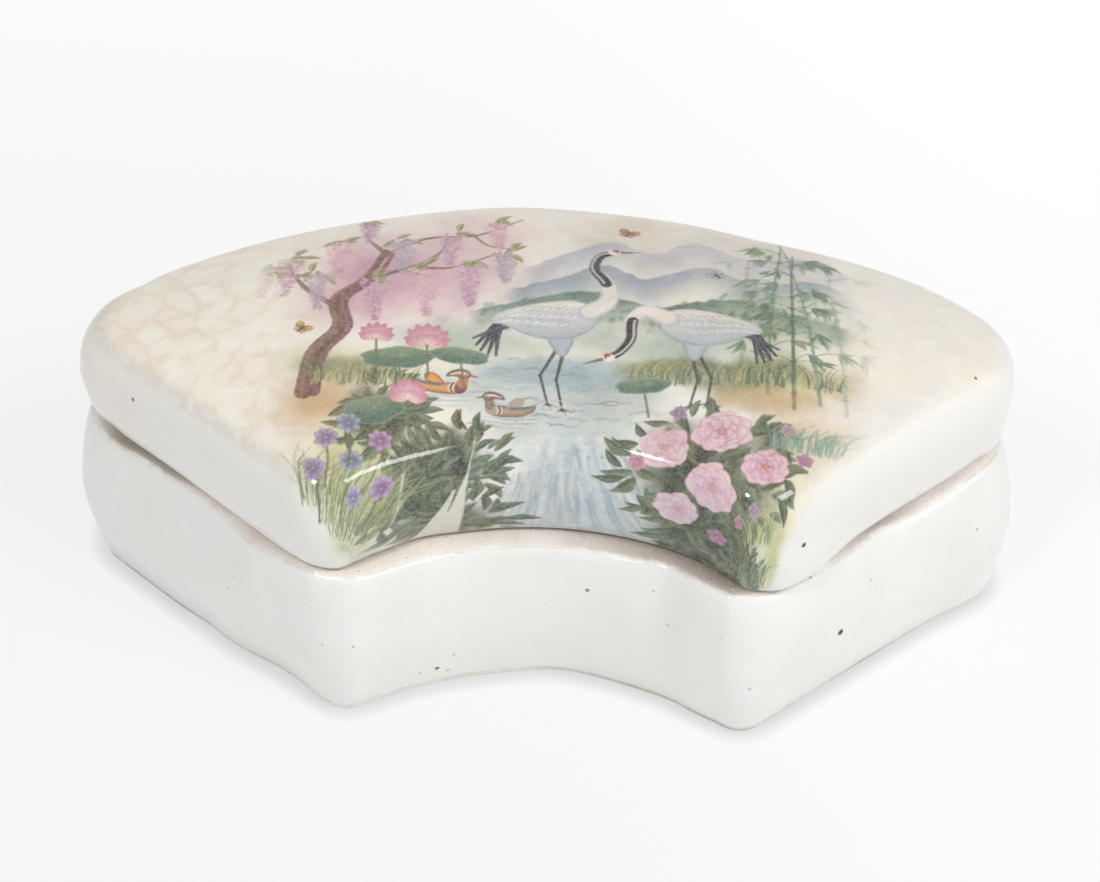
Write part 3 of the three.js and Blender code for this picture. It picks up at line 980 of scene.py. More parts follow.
def crane_wing(canvas, at, size):
    """Folded wing of three rows of feathers."""
    for row, (count, start, stop, reach) in enumerate(CRANE_FEATHERS):

        def feather_shade(_x, _y, depth):
            lit = mix(WHITE, (0.9, 0.93, 0.96), row * 0.4)
            return mix(FEATHER_SHADE, lit, smooth(0.0, 0.26 * size, depth))

        for k in range(count):
            share = k / (count - 1)
            px = start[0] + (stop[0] - start[0]) * share
            py = start[1] + (stop[1] - start[1]) * share
            form = [(px, py), (px - 0.3, py + 0.42), (px - reach, py - 0.35), (px - reach * 1.12, py - 0.7),
                    (px - reach * 0.9, py - 0.85), (px - 0.2, py - 0.45)]
            canvas.shape(closed(at(form), 3), WHITE, 0.9, 0.1, feather_shade)


def crane_neck_and_head(canvas, line, size, flip):
    """White and black neck along a line, with beak, red cap and eye at its end."""
    low = line[: len(line) * 3 // 5]
    high = line[len(line) * 2 // 5 :]
    canvas.stroke(low, 3.0 * size, (0.78, 0.84, 0.89), 1, 0.16, 1.6 * size)
    canvas.stroke(low + [0.12 * size * flip, 0.2 * size], 2.3 * size, WHITE, 1, 0.3, 1.1 * size)
    canvas.stroke(high, 1.45 * size, mix(INK, SLATE, 0.15), 1, 0.2, 1.1 * size)
    canvas.stroke(high + [-0.3 * size * flip, 0.1 * size], 0.34 * size, WHITE, 0.85, 0.16, 0.3 * size)
    head = line[-1]
    way = (line[-1] - line[-4]) / np.hypot(*(line[-1] - line[-4]))
    beak_way = np.array([flip * 0.95, way[1] * 0.45 - 0.12])
    canvas.stroke([head, head + beak_way * 3.5 * size], 0.7 * size, (0.46, 0.45, 0.36), 1, 0.1, 0.12 * size)
    canvas.wash(*head, 0.98 * size, 0.82 * size, WHITE, 1, soft=0.3, rough=0)
    cap = head + [0.2 * flip * size, 0.42 * size]
    canvas.wash(*cap, 0.62 * size, 0.38 * size, RED, 1, soft=0.5, rough=0)
    eye = head + [0.42 * flip * size, -0.02]
    canvas.wash(*eye, 0.2 * size, 0.2 * size, INK, 1, soft=0.4, rough=0)


DUCK_BODY = [
    (3.2, 0.2), (2.9, 1.3), (1.2, 1.5), (-1.5, 1.3), (-4.2, 1.6), (-3.6, 0.3), (-1.6, -0.5), (1.6, -0.6),
]
DUCK_BREAST = [(3.3, 0.2), (3.2, 1.5), (2.1, 1.6), (1.6, 0.2), (2.3, -0.5)]
DUCK_SAIL = [(0.2, 1.1), (-1.0, 2.9), (-2.5, 2.8), (-2.0, 1.3)]
DUCK_CREST = [
    (3.9, 3.0), (3.4, 3.8), (2.3, 4.0), (1.0, 3.5), (0.4, 2.5), (1.6, 2.6), (2.6, 2.3), (3.5, 2.4),
]


def duck(canvas, x, y, size, flip, drake=True):
    """Duck afloat, with rings on the water. It faces right before it is flipped."""

    def at(points):
        return placed(points, x, y, size, 0, flip)

    def rimmed(rim, middle, reach):
        return lambda X, Y, depth: mix(rim, middle, smooth(0, reach * size, depth))

    back = ORANGE if drake else (0.62, 0.56, 0.50)
    breast = (0.50, 0.28, 0.40) if drake else (0.72, 0.66, 0.60)
    body_shade = rimmed(mix(back, BROWN, 0.55), mix(back, SAND, 0.35), 0.8)
    sail_shade = rimmed(WINE, (0.95, 0.68, 0.32), 0.3) if drake else None
    crest_shade = rimmed(DEEP_TEAL if drake else BROWN, mix(back, WINE, 0.3), 0.5)
    canvas.shape(closed(at(DUCK_BODY), 5), back, 1, 0.12, body_shade)
    canvas.shape(closed(at(DUCK_BREAST), 4), breast, 0.95, 0.14)
    for k in range(3):
        bar = curve(at([(1.7 - 0.3 * k, 1.3), (1.4 - 0.3 * k, 0.5), (1.6 - 0.3 * k, -0.1)]), 4)
        canvas.stroke(bar, 0.17 * size, WHITE if k % 2 == 0 else INK, 0.9, 0.08)
    canvas.shape(closed(at(DUCK_SAIL), 4), ORANGE if drake else breast, 1, 0.12, sail_shade)
    canvas.stroke(curve(at([(-0.5, 1.0), (-2.6, 1.1), (-4.4, 1.9)]), 4), 0.6 * size, SLATE, 0.9, 0.14, 0.15)
    canvas.stroke(at([(2.7, 1.3), (2.9, 2.6)]), 1.5 * size, mix(back, BROWN, 0.25), 1, 0.14, 1.35 * size)
    canvas.shape(closed(at(DUCK_CREST), 4), BROWN, 1, 0.12, crest_shade)
    canvas.stroke(curve(at([(3.3, 3.1), (2.3, 3.3), (1.0, 2.9)]), 4), 0.44 * size, WHITE, 0.95, 0.12, 0.12)
    canvas.stroke(at([(3.7, 2.9), (4.7, 2.65)]), 0.44 * size, RED if drake else SLATE, 1, 0.1, 0.2 * size)
    canvas.wash(*at([(3.2, 3.05)])[0], 0.15 * size, 0.15 * size, INK, 1, soft=0.4, rough=0)
    for k in range(5):
        left, width = -4.6 + 0.5 * k, 8.6 - 0.6 * k
        middle = (left + width / 2, -0.95 - 0.42 * k)
        wave = curve(at([(left, -0.75 - 0.4 * k), middle, (left + width, -0.7 - 0.4 * k)]), 4)
        canvas.stroke(wave, 0.2, WHITE if k % 2 else BLUE, 0.75 - 0.1 * k, 0.12, 0.08)


def butterfly(canvas, x, y, size, turn, colour):
    """Two pairs of wings on a dark body."""
    upper = (mix(colour, WINE, 0.5), colour)
    lower = (mix(colour, WINE, 0.4), mix(colour, WHITE, 0.3))
    for side in (-1, 1):
        petal(canvas, x, y, size, size * 0.7, turn + side * 0.85, *upper, 0.1, INK)
        petal(canvas, x, y, size * 0.65, size * 0.55, turn + side * 2.1, *lower, 0.0, INK)
    c, s = math.cos(turn), math.sin(turn)
    body = [(x - 0.45 * size * c, y - 0.45 * size * s), (x + 0.4 * size * c, y + 0.4 * size * s)]
    canvas.stroke(body, 0.2, INK, 0.9, 0.08, 0.1)


# Scene


def washes(canvas, rows, rough, soft=0.9):
    """Lays soft patches: middle, reach across and up, ink and strength."""
    for x, y, rx, ry, ink, strength in rows:
        canvas.wash(x, y, rx, ry, ink, strength, rough=rough, soft=soft)


POND = (
    (0, 42, 17, 5.5, PALE_BLUE, 0.9),
    (2, 37, 12, 6, PALE_BLUE, 0.9),
    (4, 44.5, 14, 3.2, BLUE, 0.5),
    (2.5, 29, 7.0, 10, PALE_BLUE, 0.95),
    (2.5, 23, 7.0, 7, PALE_BLUE, 0.9),
)
FALL_INKS = (WHITE, WHITE, PALE_BLUE, BLUE, (0.70, 0.78, 0.84), (0.56, 0.64, 0.68))


def fall_brink(x):
    """Height of the line over which the pond spills."""
    return -0.03 * (x - 2.5) ** 2


def water(canvas):
    """Pond in the middle that spills over the front of the lid."""
    washes(canvas, POND, 0.15, 0.5)
    rng = np.random.default_rng(21)
    for _ in range(95):
        y = rng.uniform(37.0, 47)
        x = rng.uniform(-16, 11)
        length = rng.uniform(1.5, 5) * (0.6 + (47 - y) / 12)
        crest, dip = (x + length * 0.35, y + 0.22), (x + length * 0.7, y - 0.15)
        wave = curve([(x, y), crest, dip, (x + length, y + 0.1)], 4)
        ink = (WHITE, BLUE, SLATE, BLUE)[rng.integers(4)]
        canvas.stroke(wave, 0.22, ink, rng.uniform(0.2, 0.6), 0.14, 0.06)
    for _ in range(230):
        x = rng.uniform(-3.8, 8.8)
        top = 35.5 + fall_brink(x) + rng.uniform(-9, 1.2)
        low = top - rng.uniform(2.5, 9)
        drift = (x - 2.5) * 0.12
        middle = (x + drift * 0.5 + rng.normal(0, 0.15), (top + low) / 2)
        fall = curve([(x, top), middle, (x + drift, low)], 5)
        ink = FALL_INKS[rng.integers(6)]
        canvas.stroke(fall, rng.uniform(0.14, 0.42), ink, rng.uniform(0.2, 0.6), 0.2, 0.06)
    for _ in range(60):
        x = rng.uniform(-4.2, 9.2)
        y = rng.choice([35.6 + fall_brink(x), rng.uniform(18, 24)]) + rng.normal(0, 0.4)
        reach = (rng.uniform(0.4, 1.3), rng.uniform(0.25, 0.6))
        canvas.wash(x, y, *reach, WHITE, rng.uniform(0.3, 0.6), rough=0.8)


# Sky, mist and the ground tints that the motifs stand on
GROUND = (
    (-17, 61, 18, 14, PALE_PINK, 0.85),
    (-16, 62, 15, 12, (0.80, 0.64, 0.74), 0.6),
    (-23, 57, 11, 9, PINK, 0.45),
    (-8, 70, 10, 7, PALE_PINK, 0.7),
    (16, 68, 22, 10, (0.86, 0.84, 0.80), 0.7),
    (8, 73, 12, 5, (0.93, 0.90, 0.84), 0.5),
    (26, 56, 12, 14, (0.76, 0.80, 0.70), 0.8),
    (3, 55, 14, 9, (0.78, 0.84, 0.82), 0.8),
    (14, 49, 16, 6, TEAL, 0.55),
    (-10, 49, 12, 4.5, TEAL, 0.5),
    (26, 44, 12, 6, SPRING, 0.7),
    (-24, 44, 11, 5.0, SPRING, 0.5),
    (-25.5, 38, 8, 6.5, OCHRE, 0.75),
    (29, 36, 8, 8, SAND, 0.75),
    (31, 44, 6, 4, OCHRE, 0.5),
    (-20, 31, 12, 8, SPRING, 0.7),
    (-18, 26, 9, 5, SAGE, 0.7),
    (18, 30, 15, 9, SAGE, 0.85),
    (20, 24, 14, 6, SPRING, 0.7),
    (12, 22, 12, 7, OLIVE, 0.6),
    (16, 20, 8, 11, OLIVE, 0.85),
    (16, 16, 7, 7, DARK_OLIVE, 0.5),
    (28, 27, 6, 7, (0.93, 0.90, 0.68), 0.7),
    (27, 19, 6, 7, SPRING, 0.8),
    (-17, 20, 9, 5, SPRING, 0.6),
    (-12, 18, 9, 4, SAGE, 0.6),
)
FAR_HILLS = ((-4, 62), (2, 66.5), (7, 69.5), (12, 67), (17, 70.5), (23, 67), (30, 68.5), (36, 63))
MIDDLE_HILLS = ((-6, 58), (1, 61), (6, 64), (11, 61.5), (18, 64.5), (24, 61), (31, 63), (37, 58))
NEAR_HILLS = ((-10, 54), (-3, 56.5), (4, 58.5), (12, 56), (20, 58), (28, 55.5), (35, 54))


def hills(canvas):
    """Three misty ridges with a line of far trees."""
    ridge(canvas, FAR_HILLS, (0.72, 0.75, 0.84), 8, 0.8, 1)
    ridge(canvas, MIDDLE_HILLS, (0.58, 0.65, 0.74), 7, 0.85, 2)
    ridge(canvas, NEAR_HILLS, (0.41, 0.54, 0.50), 6, 0.9, 3)
    rng = np.random.default_rng(4)
    for _ in range(150):
        x = rng.uniform(-8, 33)
        y = 55.2 + 1.6 * math.sin(x * 0.45) + rng.uniform(-2.5, 1)
        reach = (rng.uniform(0.35, 0.9), rng.uniform(0.4, 1.1))
        ink = (DEEP_TEAL, TEAL, OLIVE)[rng.integers(3)]
        canvas.wash(x, y, *reach, ink, rng.uniform(0.3, 0.6), rough=0.5)


TRUNK = ((-27.5, 40), (-26.8, 46), (-24.2, 50.5), (-24.8, 55.5), (-21.5, 60), (-19.5, 66))
# Boughs of the wisteria: their line and how wide they start
BOUGHS = (
    (((-24.6, 54), (-28.5, 58), (-30.5, 63), (-29, 67)), 0.9),
    (((-22.5, 58.5), (-17, 62), (-11.5, 62.5), (-6, 66)), 0.9),
    (((-20, 64.5), (-15, 69), (-9, 70), (-3.5, 74)), 0.8),
    (((-19.6, 65.5), (-22, 70), (-20.5, 73.5)), 0.7),
    (((-16, 62.3), (-13, 66), (-12.5, 70.5)), 0.5),
    (((-29.5, 60.5), (-32.5, 61.5), (-34.5, 60)), 0.45),
    (((-9.5, 70.2), (-7.5, 67.5), (-4.2, 66.8)), 0.4),
)
# Hanging clusters: top, length, width and ink
RACEMES = (
    (-30.5, 64.5, 8, 3.2, MAUVE),
    (-27.2, 61, 7.5, 3, LILAC),
    (-25, 68.5, 8.5, 3.4, PINK),
    (-20.5, 60, 8, 3.2, MAUVE),
    (-17.6, 68.5, 7.5, 3.2, LILAC),
    (-14.8, 62, 9, 3.4, PINK),
    (-11.8, 69.8, 7, 3, MAUVE),
    (-9.6, 63, 8, 3.2, MAUVE),
    (-6.8, 73, 6.5, 2.8, PINK),
    (-5.4, 66, 6.5, 2.8, LILAC),
    (-33, 61.5, 5.5, 2.4, PINK),
    (-21.6, 73.5, 5.5, 2.6, MAUVE),
)


def wisteria(canvas):
    """Old wisteria in bloom on the left."""
    canvas.wash(-20, 60, 12, 8, MAUVE, 0.3, rough=0.5)
    branch(canvas, [(x + 1.1, y) for x, y in TRUNK], 1.5, 0.5, WINE, 0.8)
    branch(canvas, TRUNK, 2.1, 0.8)
    for points, width in BOUGHS:
        branch(canvas, points, width, 0.15, BROWN, 0.85)
    rng = np.random.default_rng(8)
    for x, y, length, width, ink in RACEMES:
        for _ in range(5):
            angle = rng.uniform(-2.6, -0.4)
            place = (x + rng.uniform(-1, 1), y + rng.uniform(-0.3, 1.2))
            size = rng.uniform(1.8, 2.9)
            leaf(canvas, *place, size, 0.9, angle + rng.choice([0, 1.8]), SPRING, OLIVE, 0.08, 0.9)
        raceme(canvas, x, y, length, width, ink, int(100 + x * 3 + y), rng.uniform(-0.5, 0.8))


# Bamboo stems: x, foot, top, lean, ink and strength
STEMS = (
    (33.5, 40, 66, -1.5, TEAL, 0.45),
    (21.5, 43, 67, 1.5, TEAL, 0.5),
    (30.5, 41, 71, -3.5, (0.40, 0.56, 0.48), 0.7),
    (24.5, 42, 72, 2.5, (0.42, 0.56, 0.44), 0.8),
    (27.5, 40, 69, 0.5, (0.30, 0.46, 0.38), 0.92),
)
BANKS = (
    (20, 45, 14, 3.4, OLIVE, 0.75),
    (12, 45.5, 6, 2.2, (0.60, 0.62, 0.42), 0.8),
    (-22, 44, 8, 2.6, OLIVE, 0.6),
    (26, 41, 9, 3, OCHRE, 0.6),
)
# Bushes of dark leaves: middle, reach across and up, leaves, seed, leaf length and gloom
BUSHES = (
    (-18.6, 37.0, 4.8, 5.2, 60, 91, 3.0, 0.9),
    (-9.4, 31.4, 5.4, 5.0, 80, 93, 2.8, 0.95),
    (-12.8, 28.0, 3.2, 5.2, 60, 92, 2.7, 0.85),
    (-7.6, 23.4, 4.8, 5.6, 80, 94, 2.7, 0.95),
    (11.6, 23.0, 3.4, 6.0, 60, 95, 2.7, 0.9),
    (16.0, 18.5, 5.5, 6.0, 100, 96, 2.6, 0.9),
    (21.0, 16.5, 3.6, 4.6, 50, 97, 2.4, 0.8),
)


def banks(canvas):
    """Bamboo, banks, bushes and grass on both sides of the pond."""
    for x, y0, y1, lean_over, ink, strength in STEMS:
        bamboo(canvas, x, y0, y1, lean_over, ink, strength, int(x * 7))
    washes(canvas, BANKS, 0.45, 0.7)
    for bush in BUSHES:
        clump(canvas, *bush)
    rng = np.random.default_rng(33)
    for k in range(40):
        x, y, reach = rng.uniform(-22, -10), rng.uniform(16, 25), rng.uniform(2, 6)
        middle = (x + reach / 2, y + rng.normal(0.2, 0.2))
        streak = curve([(x, y), middle, (x + reach, y + rng.normal(0, 0.2))], 4)
        canvas.stroke(streak, 0.5, (OLIVE, SAGE)[k % 2], rng.uniform(0.15, 0.4), 0.6, 0.1)
    grass(canvas, 9, 33, 43.5, 3.2, 150, (OLIVE, SAGE, SPRING, DEEP_TEAL), 31, 0.2)
    grass(canvas, -27, -13, 41.5, 3.0, 90, (OLIVE, SPRING, SAGE), 32, 0.1)


def cranes(canvas):
    """One crane looks up and one bends to the water, with rings round the first one's feet."""
    raised = [(4.3, 1.2), (6.6, 3.6), (6.4, 7.2), (4.9, 10.4), (5.6, 13.4), (7.4, 14.6)]
    legs = [((1.2, -6), (0.4, -10.6), (1.2, -15.2)), ((0.2, -6), (-1.6, -10), (-0.6, -14.4))]
    crane(canvas, 0.4, 53.4, 0.92, 1, raised, legs)
    bent = [(4.3, 1.2), (7.0, 2.6), (8.9, 0.6), (9.2, -3.0), (10.6, -5.4), (12.0, -6.4)]
    legs = [((1.2, -6), (0.6, -10.4), (1.6, -14.6)), ((0.2, -6), (-1.2, -10), (-0.6, -14.2))]
    crane(canvas, 17.2, 52.8, 0.88, -1, bent, legs)
    turns = np.linspace(-2.6, 2.2, 12)
    for x, y in ((1.5, 39.4), (0.0, 40.2)):
        for reach in (1.0, 1.9):
            ring = [(x + reach * math.cos(t), y + 0.32 * reach * math.sin(t)) for t in turns]
            canvas.stroke(curve(ring, 3), 0.16, WHITE, 0.75, 0.12, 0.06)


# Lotus leaves: middle, reach across and up, and turn
PADS = (
    (-17.2, 45.8, 4.2, 1.7, 0.1),
    (-10.2, 46.6, 3.4, 1.3, -0.1),
    (10.6, 43.0, 3.2, 1.2, 0.1),
    (-19.6, 37.6, 3.6, 2.0, 0.35),
)


def pond_life(canvas):
    """A pair of ducks, and lotus at the pond's side."""
    duck(canvas, -12.0, 41.3, 0.82, 1)
    duck(canvas, -4.6, 38.6, 0.74, -1, drake=False)
    for x, y, rx, ry, turn in PADS:
        canvas.stroke([(x, y), (x + 0.6, y - 4.5)], 0.3, OLIVE, 0.8, 0.1)
        lotus_leaf(canvas, x, y, rx, ry, turn, int(x * x))
    for x, y, size in ((-14.0, 48.2, 3.2), (-19.8, 48.8, 2.5), (-15.8, 39.6, 2.8)):
        canvas.stroke([(x, y), (x + 0.3, y - 5)], 0.28, OLIVE, 0.85, 0.1)
        lotus(canvas, x, y, size)


PEONIES = (
    (13.0, 34.4, 3.1, PALE_PINK),
    (19.4, 36.2, 3.4, PEONY_WHITE),
    (17.2, 29.6, 3.2, PALE_PINK),
    (24.2, 31.2, 2.9, (0.93, 0.80, 0.88)),
    (12.0, 27.4, 2.5, PEONY_WHITE),
)
SMALL_FLOWERS = (
    (26.8, 36.4), (22.4, 26.2), (14.8, 24.0), (9.4, 33.0), (14.6, 39.0), (28.6, 32.6), (19.2, 25.4),
)


def peonies(canvas):
    """Peonies over dark leaves at the lower right."""
    clump(canvas, 17.6, 31.0, 10.2, 7.6, 120, 12, 3.2, 0.9)
    for k, (x, y, size, ink) in enumerate(PEONIES):
        peony(canvas, x, y, size, 0.4 * k, ROSE if k % 2 else MAUVE, ink, 60 + k)
    for k, (x, y) in enumerate(SMALL_FLOWERS):
        small_flower(canvas, x, y, 1.05, (PINK, LILAC, MAUVE)[k % 3], 80 + k)


IRISES = (
    (-24.6, 33.2), (-21.6, 30.2), (-18.6, 33.4), (-25.8, 29.0), (-22.2, 35.4), (-16.4, 28.4), (-19.6, 26.6),
)


def irises(canvas):
    """Grass along the front, and irises at the lower left."""
    for low, count in ((21.5, 50), (23.5, 90), (26.0, 130)):
        inks = (SPRING, SAGE, OLIVE, (0.62, 0.68, 0.42))
        grass(canvas, -26 - low + 23.5, -13, low, 5.5, count, inks, int(low), 0.15)
    grass(canvas, 19, 26, 22.5, 4.0, 60, (SPRING, SAGE, OLIVE), 42, 0.2)
    grass(canvas, 15, 26, 15.5, 4.5, 110, (SPRING, SAGE, OLIVE, DEEP_TEAL), 43, 0.3)
    grass(canvas, 24, 33, 34.0, 3.5, 70, (TEAL, (0.60, 0.74, 0.70)), 44, 0.5)
    for k, (x, y) in enumerate(IRISES):
        canvas.stroke(curve([(x, y), (x + 0.4, y - 3), (x + 0.2, y - 6)], 4), 0.28, OLIVE, 0.85, 0.1)
        ink = (LILAC, BLUE, MAUVE)[k % 3]
        inner, outer = mix(ink, IRIS_DEEP, 0.5), mix(ink, WHITE, 0.3)
        for angle in (0.5, 1.2, 1.95, 2.65, -0.5, -1.57, -2.6):
            petal(canvas, x, y, 1.5, 0.95, angle, inner, outer, 0.2, IRIS_DEEP)
        canvas.wash(x, y, 0.24, 0.24, (0.95, 0.84, 0.45), 0.95, rough=0)


def paint():
    """The whole picture, far things first."""
    canvas = Canvas(PRINT_AREA, CANVAS_STEP)
    washes(canvas, GROUND, 0.3)
    for layer in (hills, water, wisteria, banks, cranes, pond_life, peonies, irises):
        layer(canvas)
    butterfly(canvas, 8.8, 71.6, 1.6, 1.2, ORANGE)
    butterfly(canvas, 19.2, 62.8, 1.3, 2.2, PALE_BLUE)
    butterfly(canvas, -28.4, 50.2, 1.4, 0.9, (0.93, 0.80, 0.45))
    fade_edges(canvas)
    wear(canvas)
    canvas.finish()
    return canvas


def fade_edges(canvas):
    """The print thins out into bare glaze round its edge, raggedly."""
    _, X, Y = canvas.window(np.array([PRINT_AREA[::2], PRINT_AREA[1::2]]), 0)
    rough = (canvas.mottle - 0.5) * 7
    left = smooth(-35.5, -28.0, X + rough)
    right = smooth(38.5, 31.5, X + rough - 0.12 * np.maximum(40 - Y, 0))
    low_left = smooth(17.0, 23.5, Y + rough * 0.7 - 0.28 * (X + 12) * (X < -12) + 12 * smooth(-3, 8, X))
    low_right = smooth(8.0, 12.0, Y + rough * 0.3)
    corner = smooth(33.5, 27.0, X + rough * 0.5 - 0.5 * np.maximum(Y - 28, 0))
    high = 0.35 + 0.65 * smooth(79.0, 76.0, np.hypot(X, Y))
    canvas.cover *= left * right * low_left * low_right * corner * high


SCAR = (
    (-7.7, 32.2), (-7.2, 28.6), (-6.5, 25.4), (-5.6, 21.0), (-7.4, 20.0), (-8.9, 20.6), (-8.9, 24.4),
    (-8.5, 28.8), (-8.25, 28.9), (-8.0, 25.6), (-7.9, 25.6), (-7.95, 28.6),
)
# Runs of burst bubbles: from, to, height and how many
BUBBLES = ((3.5, 13.5, 34.0, 26), (-4.5, 1.0, 37.4, 9), (-24, 24, 30, 12))


def wear(canvas):
    """Where the print is scratched and has flaked off down to the white, with a few burst bubbles."""
    scratch = curve([(-14.6, 30.2), (-13.9, 28.2), (-13.0, 25.6), (-12.6, 23.2)])
    canvas.stroke(scratch, 0.3, FLAKED, 0.85, 0.14, 0.14, 0.45)
    canvas.shape(SCAR, FLAKED, 0.95, 0.14)
    canvas.stroke([(-7.9, 34.8), (-7.75, 31.8)], 0.12, FLAKED, 0.8, 0.1, 0.2)
    rng = np.random.default_rng(51)
    for x0, x1, y, count in BUBBLES:
        for _ in range(count):
            size = rng.uniform(0.06, 0.15)
            place = (rng.uniform(x0, x1), y + rng.normal(0, 0.5))
            canvas.wash(*place, size, size, INK, rng.uniform(0.5, 0.95), soft=0.6, rough=0)


# Shader nodes


def set_inputs(tree, node, inputs):
    """Sets sockets, by their name or number, each to a value or to another node's output."""
    for key, value in inputs.items():
        socket = node.inputs[key]
        if isinstance(value, bpy.types.NodeSocket):
            tree.links.new(value, socket)
        else:
            socket.default_value = value


def add(tree, kind, inputs=None, **settings):
    """Adds a node with the given settings and inputs."""
    node = tree.nodes.new(kind)
    for key, value in settings.items():
        setattr(node, key, value)
    set_inputs(tree, node, inputs or {})
    return node


# The nodes used most, under short names. Sizes are in millimetres.


def calc(tree, operation, *values):
    return add(tree, "ShaderNodeMath", dict(enumerate(values)), operation=operation).outputs[0]


def times(tree, a, b):
    return calc(tree, "MULTIPLY", a, b)


def plus(tree, a, b):
    return calc(tree, "ADD", a, b)


def vector_calc(tree, operation, inputs, output=0):
    return add(tree, "ShaderNodeVectorMath", inputs, operation=operation).outputs[output]


def axes(tree, place):
    return add(tree, "ShaderNodeSeparateXYZ", {0: place}).outputs


def ramp(tree, value, low, high, to_low=0.0, to_high=1.0):
    """Smooth step from to_low at low to to_high at high."""
    inputs = {0: value, 1: low, 2: high, 3: to_low, 4: to_high}
    return add(tree, "ShaderNodeMapRange", inputs, interpolation_type="SMOOTHSTEP").outputs[0]


def blend(tree, share, a, b, blend_type="MIX"):
    """Mixes two colours, each a triple or another node's output."""
    a, b = ((*colour, 1.0) if isinstance(colour, tuple) else colour for colour in (a, b))
    inputs = {0: share, 6: a, 7: b}
    return add(tree, "ShaderNodeMix", inputs, data_type="RGBA", blend_type=blend_type).outputs[2]


def noise(tree, place, size_mm, detail=3.0, roughness=0.55):
    inputs = {"Vector": place, "Scale": 1 / (size_mm * MM), "Detail": detail, "Roughness": roughness}
    return add(tree, "ShaderNodeTexNoise", inputs).outputs["Fac"]


def new_material(name):
    """Material with a Principled shader and nothing else, and the place on the piece in metres."""
    material = bpy.data.materials.new(name)
    material.use_nodes = True
    tree = material.node_tree
    tree.nodes.clear()
    output = add(tree, "ShaderNodeOutputMaterial")
    shader = add(tree, "ShaderNodeBsdfPrincipled")
    tree.links.new(shader.outputs[0], output.inputs["Surface"])
    place = add(tree, "ShaderNodeTexCoord").outputs["Object"]
    return material, tree, shader, place


GLAZE_GREENISH = (0.785, 0.79, 0.745)
GLAZE_WHITE = (0.815, 0.822, 0.795)
GLAZE_CLOUD = (0.77, 0.785, 0.75)
IVORY_LEFT = (0.85, 0.802, 0.705)
IVORY_RIGHT = (0.78, 0.742, 0.68)
IVORY_DEEP = (0.825, 0.76, 0.66)
IVORY_PATCH = (0.87, 0.845, 0.785)
LID_WALL_END = (0.80, 0.755, 0.70)
LID_WALL_LEFT = (0.795, 0.783, 0.742)
LID_WALL_RIGHT = (0.80, 0.788, 0.75)
RIDGE_WORN = (0.62, 0.55, 0.465)
EDGE_STAIN = (0.66, 0.52, 0.42)
BARE_CLAY = (0.85, 0.79, 0.74)
DUSTY_CLAY = (0.76, 0.68, 0.61)
CLAY_GRAIN = (0.50, 0.38, 0.30)
CLAY_PALE_GRAIN = (0.90, 0.87, 0.83)
GRIME_SHADE_COLOUR = (0.34, 0.30, 0.245)
# Dark grey-brown for grime and for painted shade on the bare clay
CRACKLE_STAIN = (0.62, 0.45, 0.25)
IRON = (0.035, 0.024, 0.02)
SPECK = (0.30, 0.25, 0.20)
PASTE_DEEP = (0.47, 0.022, 0.012)
PASTE_RED = (0.60, 0.042, 0.018)
PASTE_BRIGHT = (0.72, 0.075, 0.03)
FIBRE_RED = (0.66, 0.09, 0.035)
GRIT_DARK = (0.30, 0.22, 0.16)
GRIT_PALE = (0.80, 0.74, 0.68)

# Heights of the relief, in millimetres
GLAZE_WAVES = 0.09
GLAZE_PEEL = 0.008
CLAY_ROUGHNESS = 0.12
GLAZE_STEP = 0.05
PASTE_GRAIN = 0.18
PASTE_CLOTS = 0.3


def attribute(tree, name, output="Fac"):
    return add(tree, "ShaderNodeAttribute", attribute_name=name).outputs[output]


def centred(tree, value, amount):
    """Noise as an amount about zero."""
    return times(tree, calc(tree, "SUBTRACT", value, 0.5), amount)


def voronoi(tree, place, size_mm, feature="F1", output="Distance"):
    inputs = {"Vector": place, "Scale": 1 / (size_mm * MM)}
    return add(tree, "ShaderNodeTexVoronoi", inputs, feature=feature).outputs[output]


def warped(tree, place, size_mm, reach_mm):
    """Places pushed about by noise, so that lines drawn by them wander."""
    inputs = {"Vector": place, "Scale": 1 / (size_mm * MM), "Detail": 3.0}
    push = add(tree, "ShaderNodeTexNoise", inputs).outputs["Color"]
    push = vector_calc(tree, "SUBTRACT", {0: push, 1: (0.5, 0.5, 0.5)})
    push = vector_calc(tree, "SCALE", {0: push, 3: reach_mm * MM * 2})
    return vector_calc(tree, "ADD", {0: place, 1: push})


def spot_mask(tree, place, spots):
    """Where burnt-in spots lie, each given by its middle, its radius and how dark it is."""
    ragged = centred(tree, noise(tree, place, 0.35, 2), 0.45)
    total = 0.0
    for middle, radius, depth in spots:
        ends = {0: place, 1: tuple(v * MM for v in middle)}
        away = vector_calc(tree, "DISTANCE", ends, "Value")
        away = calc(tree, "MULTIPLY_ADD", away, 1 / (radius * MM), ragged)
        total = calc(tree, "MAXIMUM", total, ramp(tree, away, 1.15, 0.55, 0.0, depth))
    return total


def fine_specks(tree, place, size_mm, share, radius):
    """Small grains, one in each cell of the given share of cells."""
    near = voronoi(tree, place, size_mm)
    cell = voronoi(tree, place, size_mm, output="Color")
    luck = add(tree, "ShaderNodeSeparateColor", {0: cell}).outputs[0]
    there = calc(tree, "LESS_THAN", luck, share)
    size = times(tree, luck, radius / share)
    dot = ramp(tree, calc(tree, "SUBTRACT", near, size), 0.03, -0.03)
    return times(tree, dot, there)


